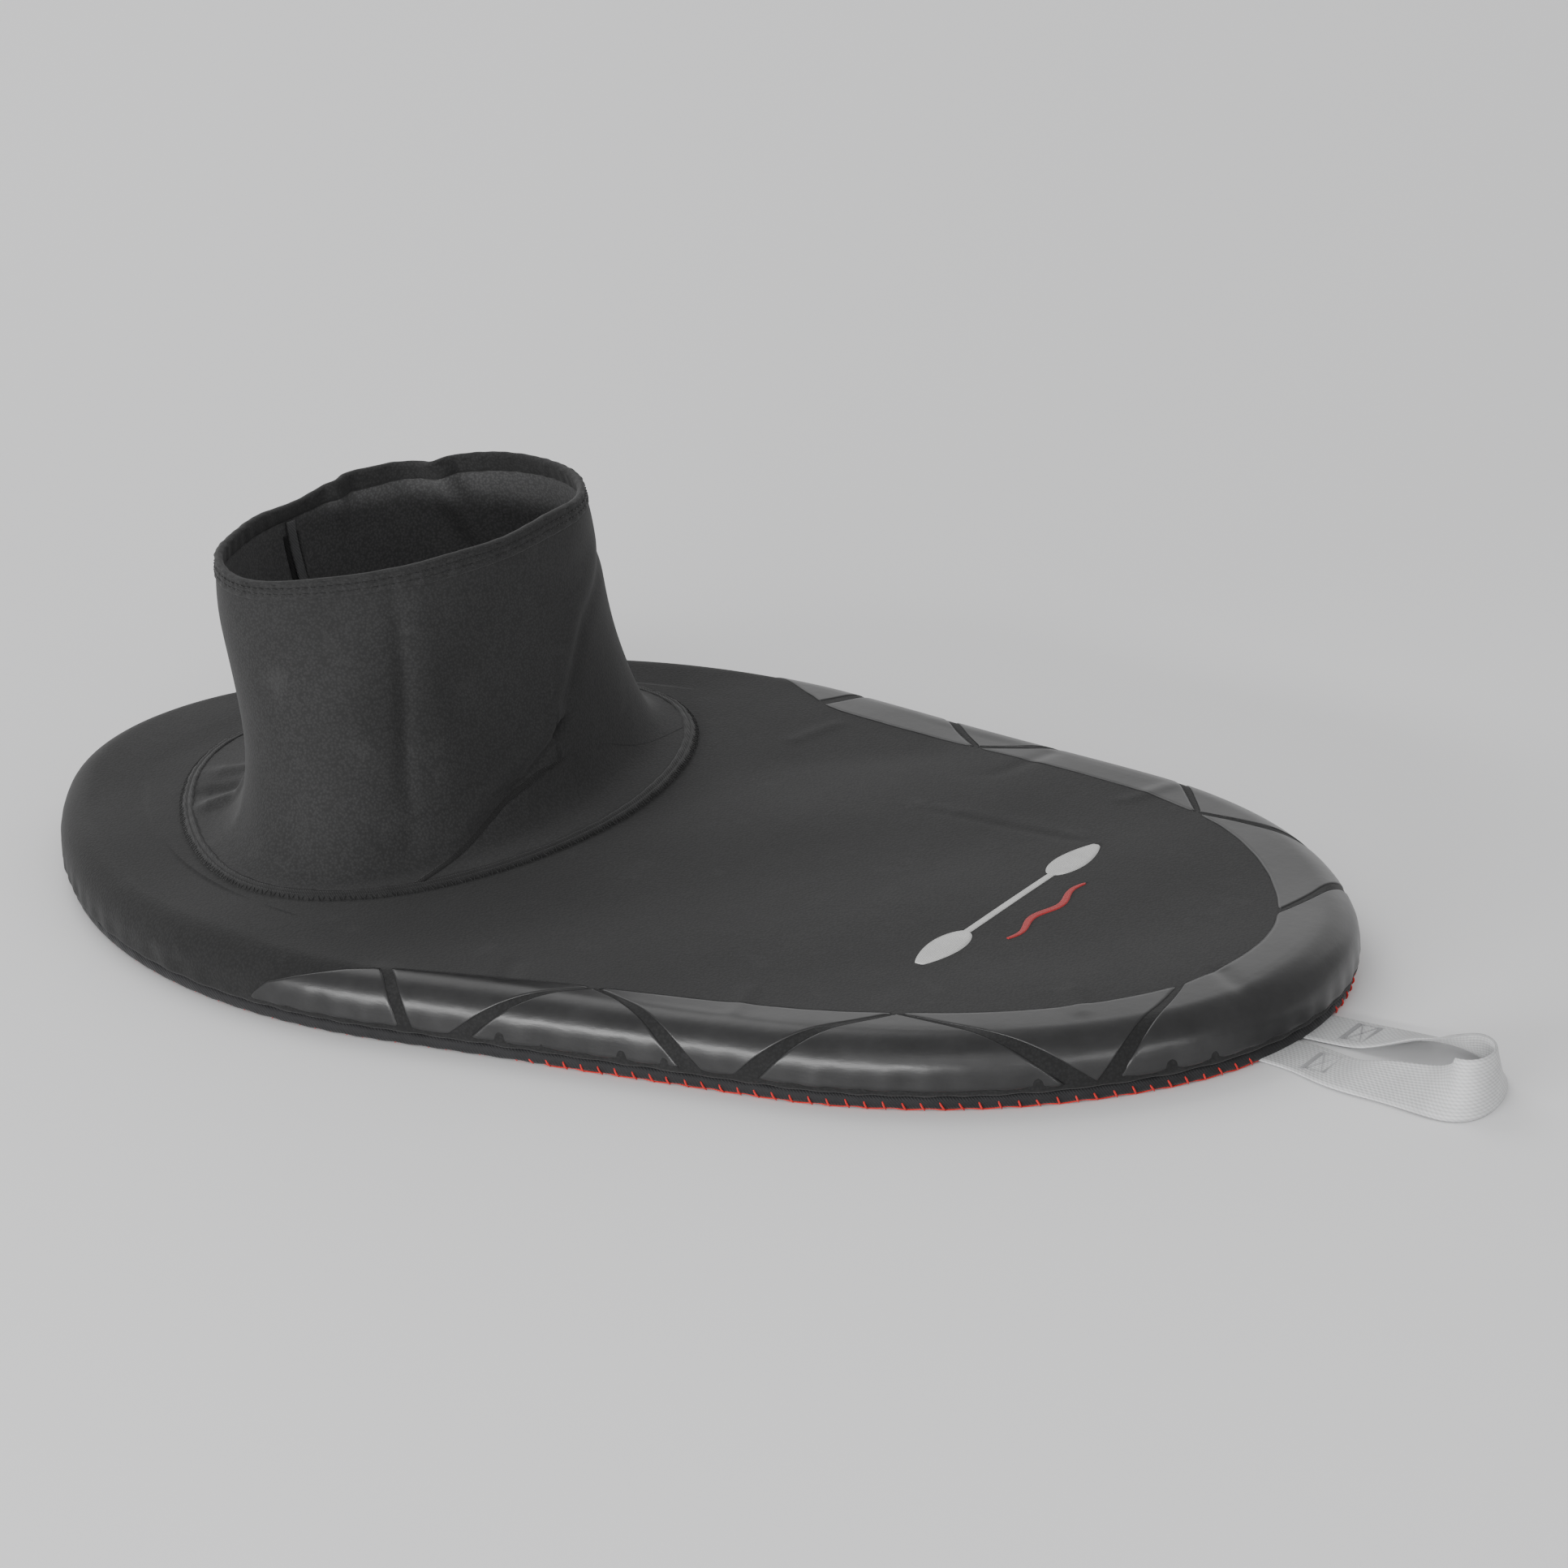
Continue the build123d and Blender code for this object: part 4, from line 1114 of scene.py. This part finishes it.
# ---------------------------------------------------------------- print: a plain double paddle and a wave
def print_strip(name, line, widths, mat, node_name, height=0.0006):
    """A printed stroke of changing width along a plan line, lying on the deck."""
    line = np.array(line, float)
    t = np.gradient(line, axis=0)
    t /= np.linalg.norm(t, axis=1, keepdims=True)
    s = np.stack([-t[:, 1], t[:, 0]], -1)
    k = np.linspace(-1, 1, 9)
    xy = line[:, None, :] + s[:, None, :] * (np.array(widths)[:, None] / 2 * k[None, :])[..., None]
    z = DECK_Z + deck_lift(xy[..., 0], xy[..., 1])
    soft = np.clip((1 - np.abs(k)) * 6, 0.25, 1)[None, :]
    outer = np.concatenate([xy, (z + height * soft)[..., None]], -1)
    inner = np.concatenate([xy, (z - 0.0003)[..., None]], -1)
    o = two_sided(name, outer, inner, [mat], merge=0)
    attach(o, "deck")
    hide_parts(node_name)
    return o


pad_lo, pad_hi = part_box("graphic_paddle")
ys = np.linspace(pad_lo.y, pad_hi.y, 220)
reach = (pad_hi.y - pad_lo.y) / 2
far = np.abs(ys - (pad_lo.y + pad_hi.y) / 2)
BLADE_L = 0.052
blade = np.clip((far - (reach - BLADE_L)) / BLADE_L, 0, 1)
SHAFT_W = 0.0048
swell = np.sin(blade**0.8 * math.pi) ** 0.75 * (blade > 0)
widths = np.maximum(SHAFT_W + (pad_hi.x - pad_lo.x - SHAFT_W) * swell, SHAFT_W)
widths = np.where(blade >= 0.995, 0.004, widths)
px = (pad_lo.x + pad_hi.x) / 2
shaft = np.stack([np.full_like(ys, px), ys], -1)
print_strip("printed_paddle", shaft, widths, white_mat, "graphic_paddle")
wav_lo, wav_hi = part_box("graphic_wave")
ys = np.linspace(wav_lo.y + 0.001, wav_hi.y - 0.001, 160)
f = (ys - wav_lo.y) / (wav_hi.y - wav_lo.y)
wx = (wav_lo.x + wav_hi.x) / 2 + 0.30 * (wav_hi.x - wav_lo.x) * np.sin(f * 4 * math.pi)
widths = 0.0008 + 0.0042 * np.sin(math.pi * f) ** 0.5
print_strip("printed_wave", np.stack([wx, ys], -1), widths, redprint_mat, "graphic_wave")

# ---------------------------------------------------------------- floor, light and camera
bpy.ops.mesh.primitive_plane_add(size=12, location=(0, 0, 0))
floor = bpy.context.object
floor.name = "floor"
floor_mat, _, floor_shader = material("floor", 0.55, 0.3)
floor_shader.inputs["Base Color"].default_value = (0.90, 0.90, 0.905, 1)
floor.data.materials.append(floor_mat)


def area_light(name, place, target, size, power):
    """A white rectangular light at a place, turned to a target."""
    data = bpy.data.lights.new(name, "AREA")
    data.shape = "RECTANGLE"
    data.size, data.size_y = size
    data.energy = power
    ob = bpy.data.objects.new(name, data)
    bpy.context.scene.collection.objects.link(ob)
    ob.location = place
    ob.rotation_mode = "QUATERNION"
    ob.rotation_quaternion = (Vector(target) - Vector(place)).to_track_quat("-Z", "Y")
    return ob


area_light("key", (-2.5, 0.9, 3.1), (0, 0, 0.05), (2.6, 2.6), 44)
area_light("backdrop", (-2.2, 4.4, 1.9), (0.1, 0.0, 0.1), (9.0, 3.8), 62)
area_light("front", (1.6, -3.4, 2.6), (-0.1, 0, 0.08), (2.8, 2.0), 26)
area_light("side strip", (-0.15, -3.35, 0.62), (0.15, -0.2, 0.03), (3.4, 0.18), 120)
area_light("bow strip", (3.1, -1.6, 0.80), (0.35, 0, 0.03), (1.8, 0.22), 22)
world = bpy.data.worlds.new("world")
bpy.context.scene.world = world
world.use_nodes = True
bg = world.node_tree.nodes["Background"]
bg.inputs["Color"].default_value = (0.89, 0.89, 0.895, 1)
bg.inputs["Strength"].default_value = 0.62

cam_data = bpy.data.cameras.new("camera")
cam = bpy.data.objects.new("camera", cam_data)
bpy.context.scene.collection.objects.link(cam)
cam_data.lens, cam_data.sensor_width = 146.016, 36.0
back = Vector((0.5256, -0.7663, 0.3694)).normalized()
right = Vector((0.8345, 0.5487, -0.0491)).normalized()
up = back.cross(right)
rot = Matrix((right, up, back)).transposed().to_4x4()
cam.matrix_world = Matrix.Translation(Vector((2.0748, -2.9140, 1.4941))) @ rot
cam_data.clip_start, cam_data.clip_end = 0.1, 50
bpy.context.scene.camera = cam
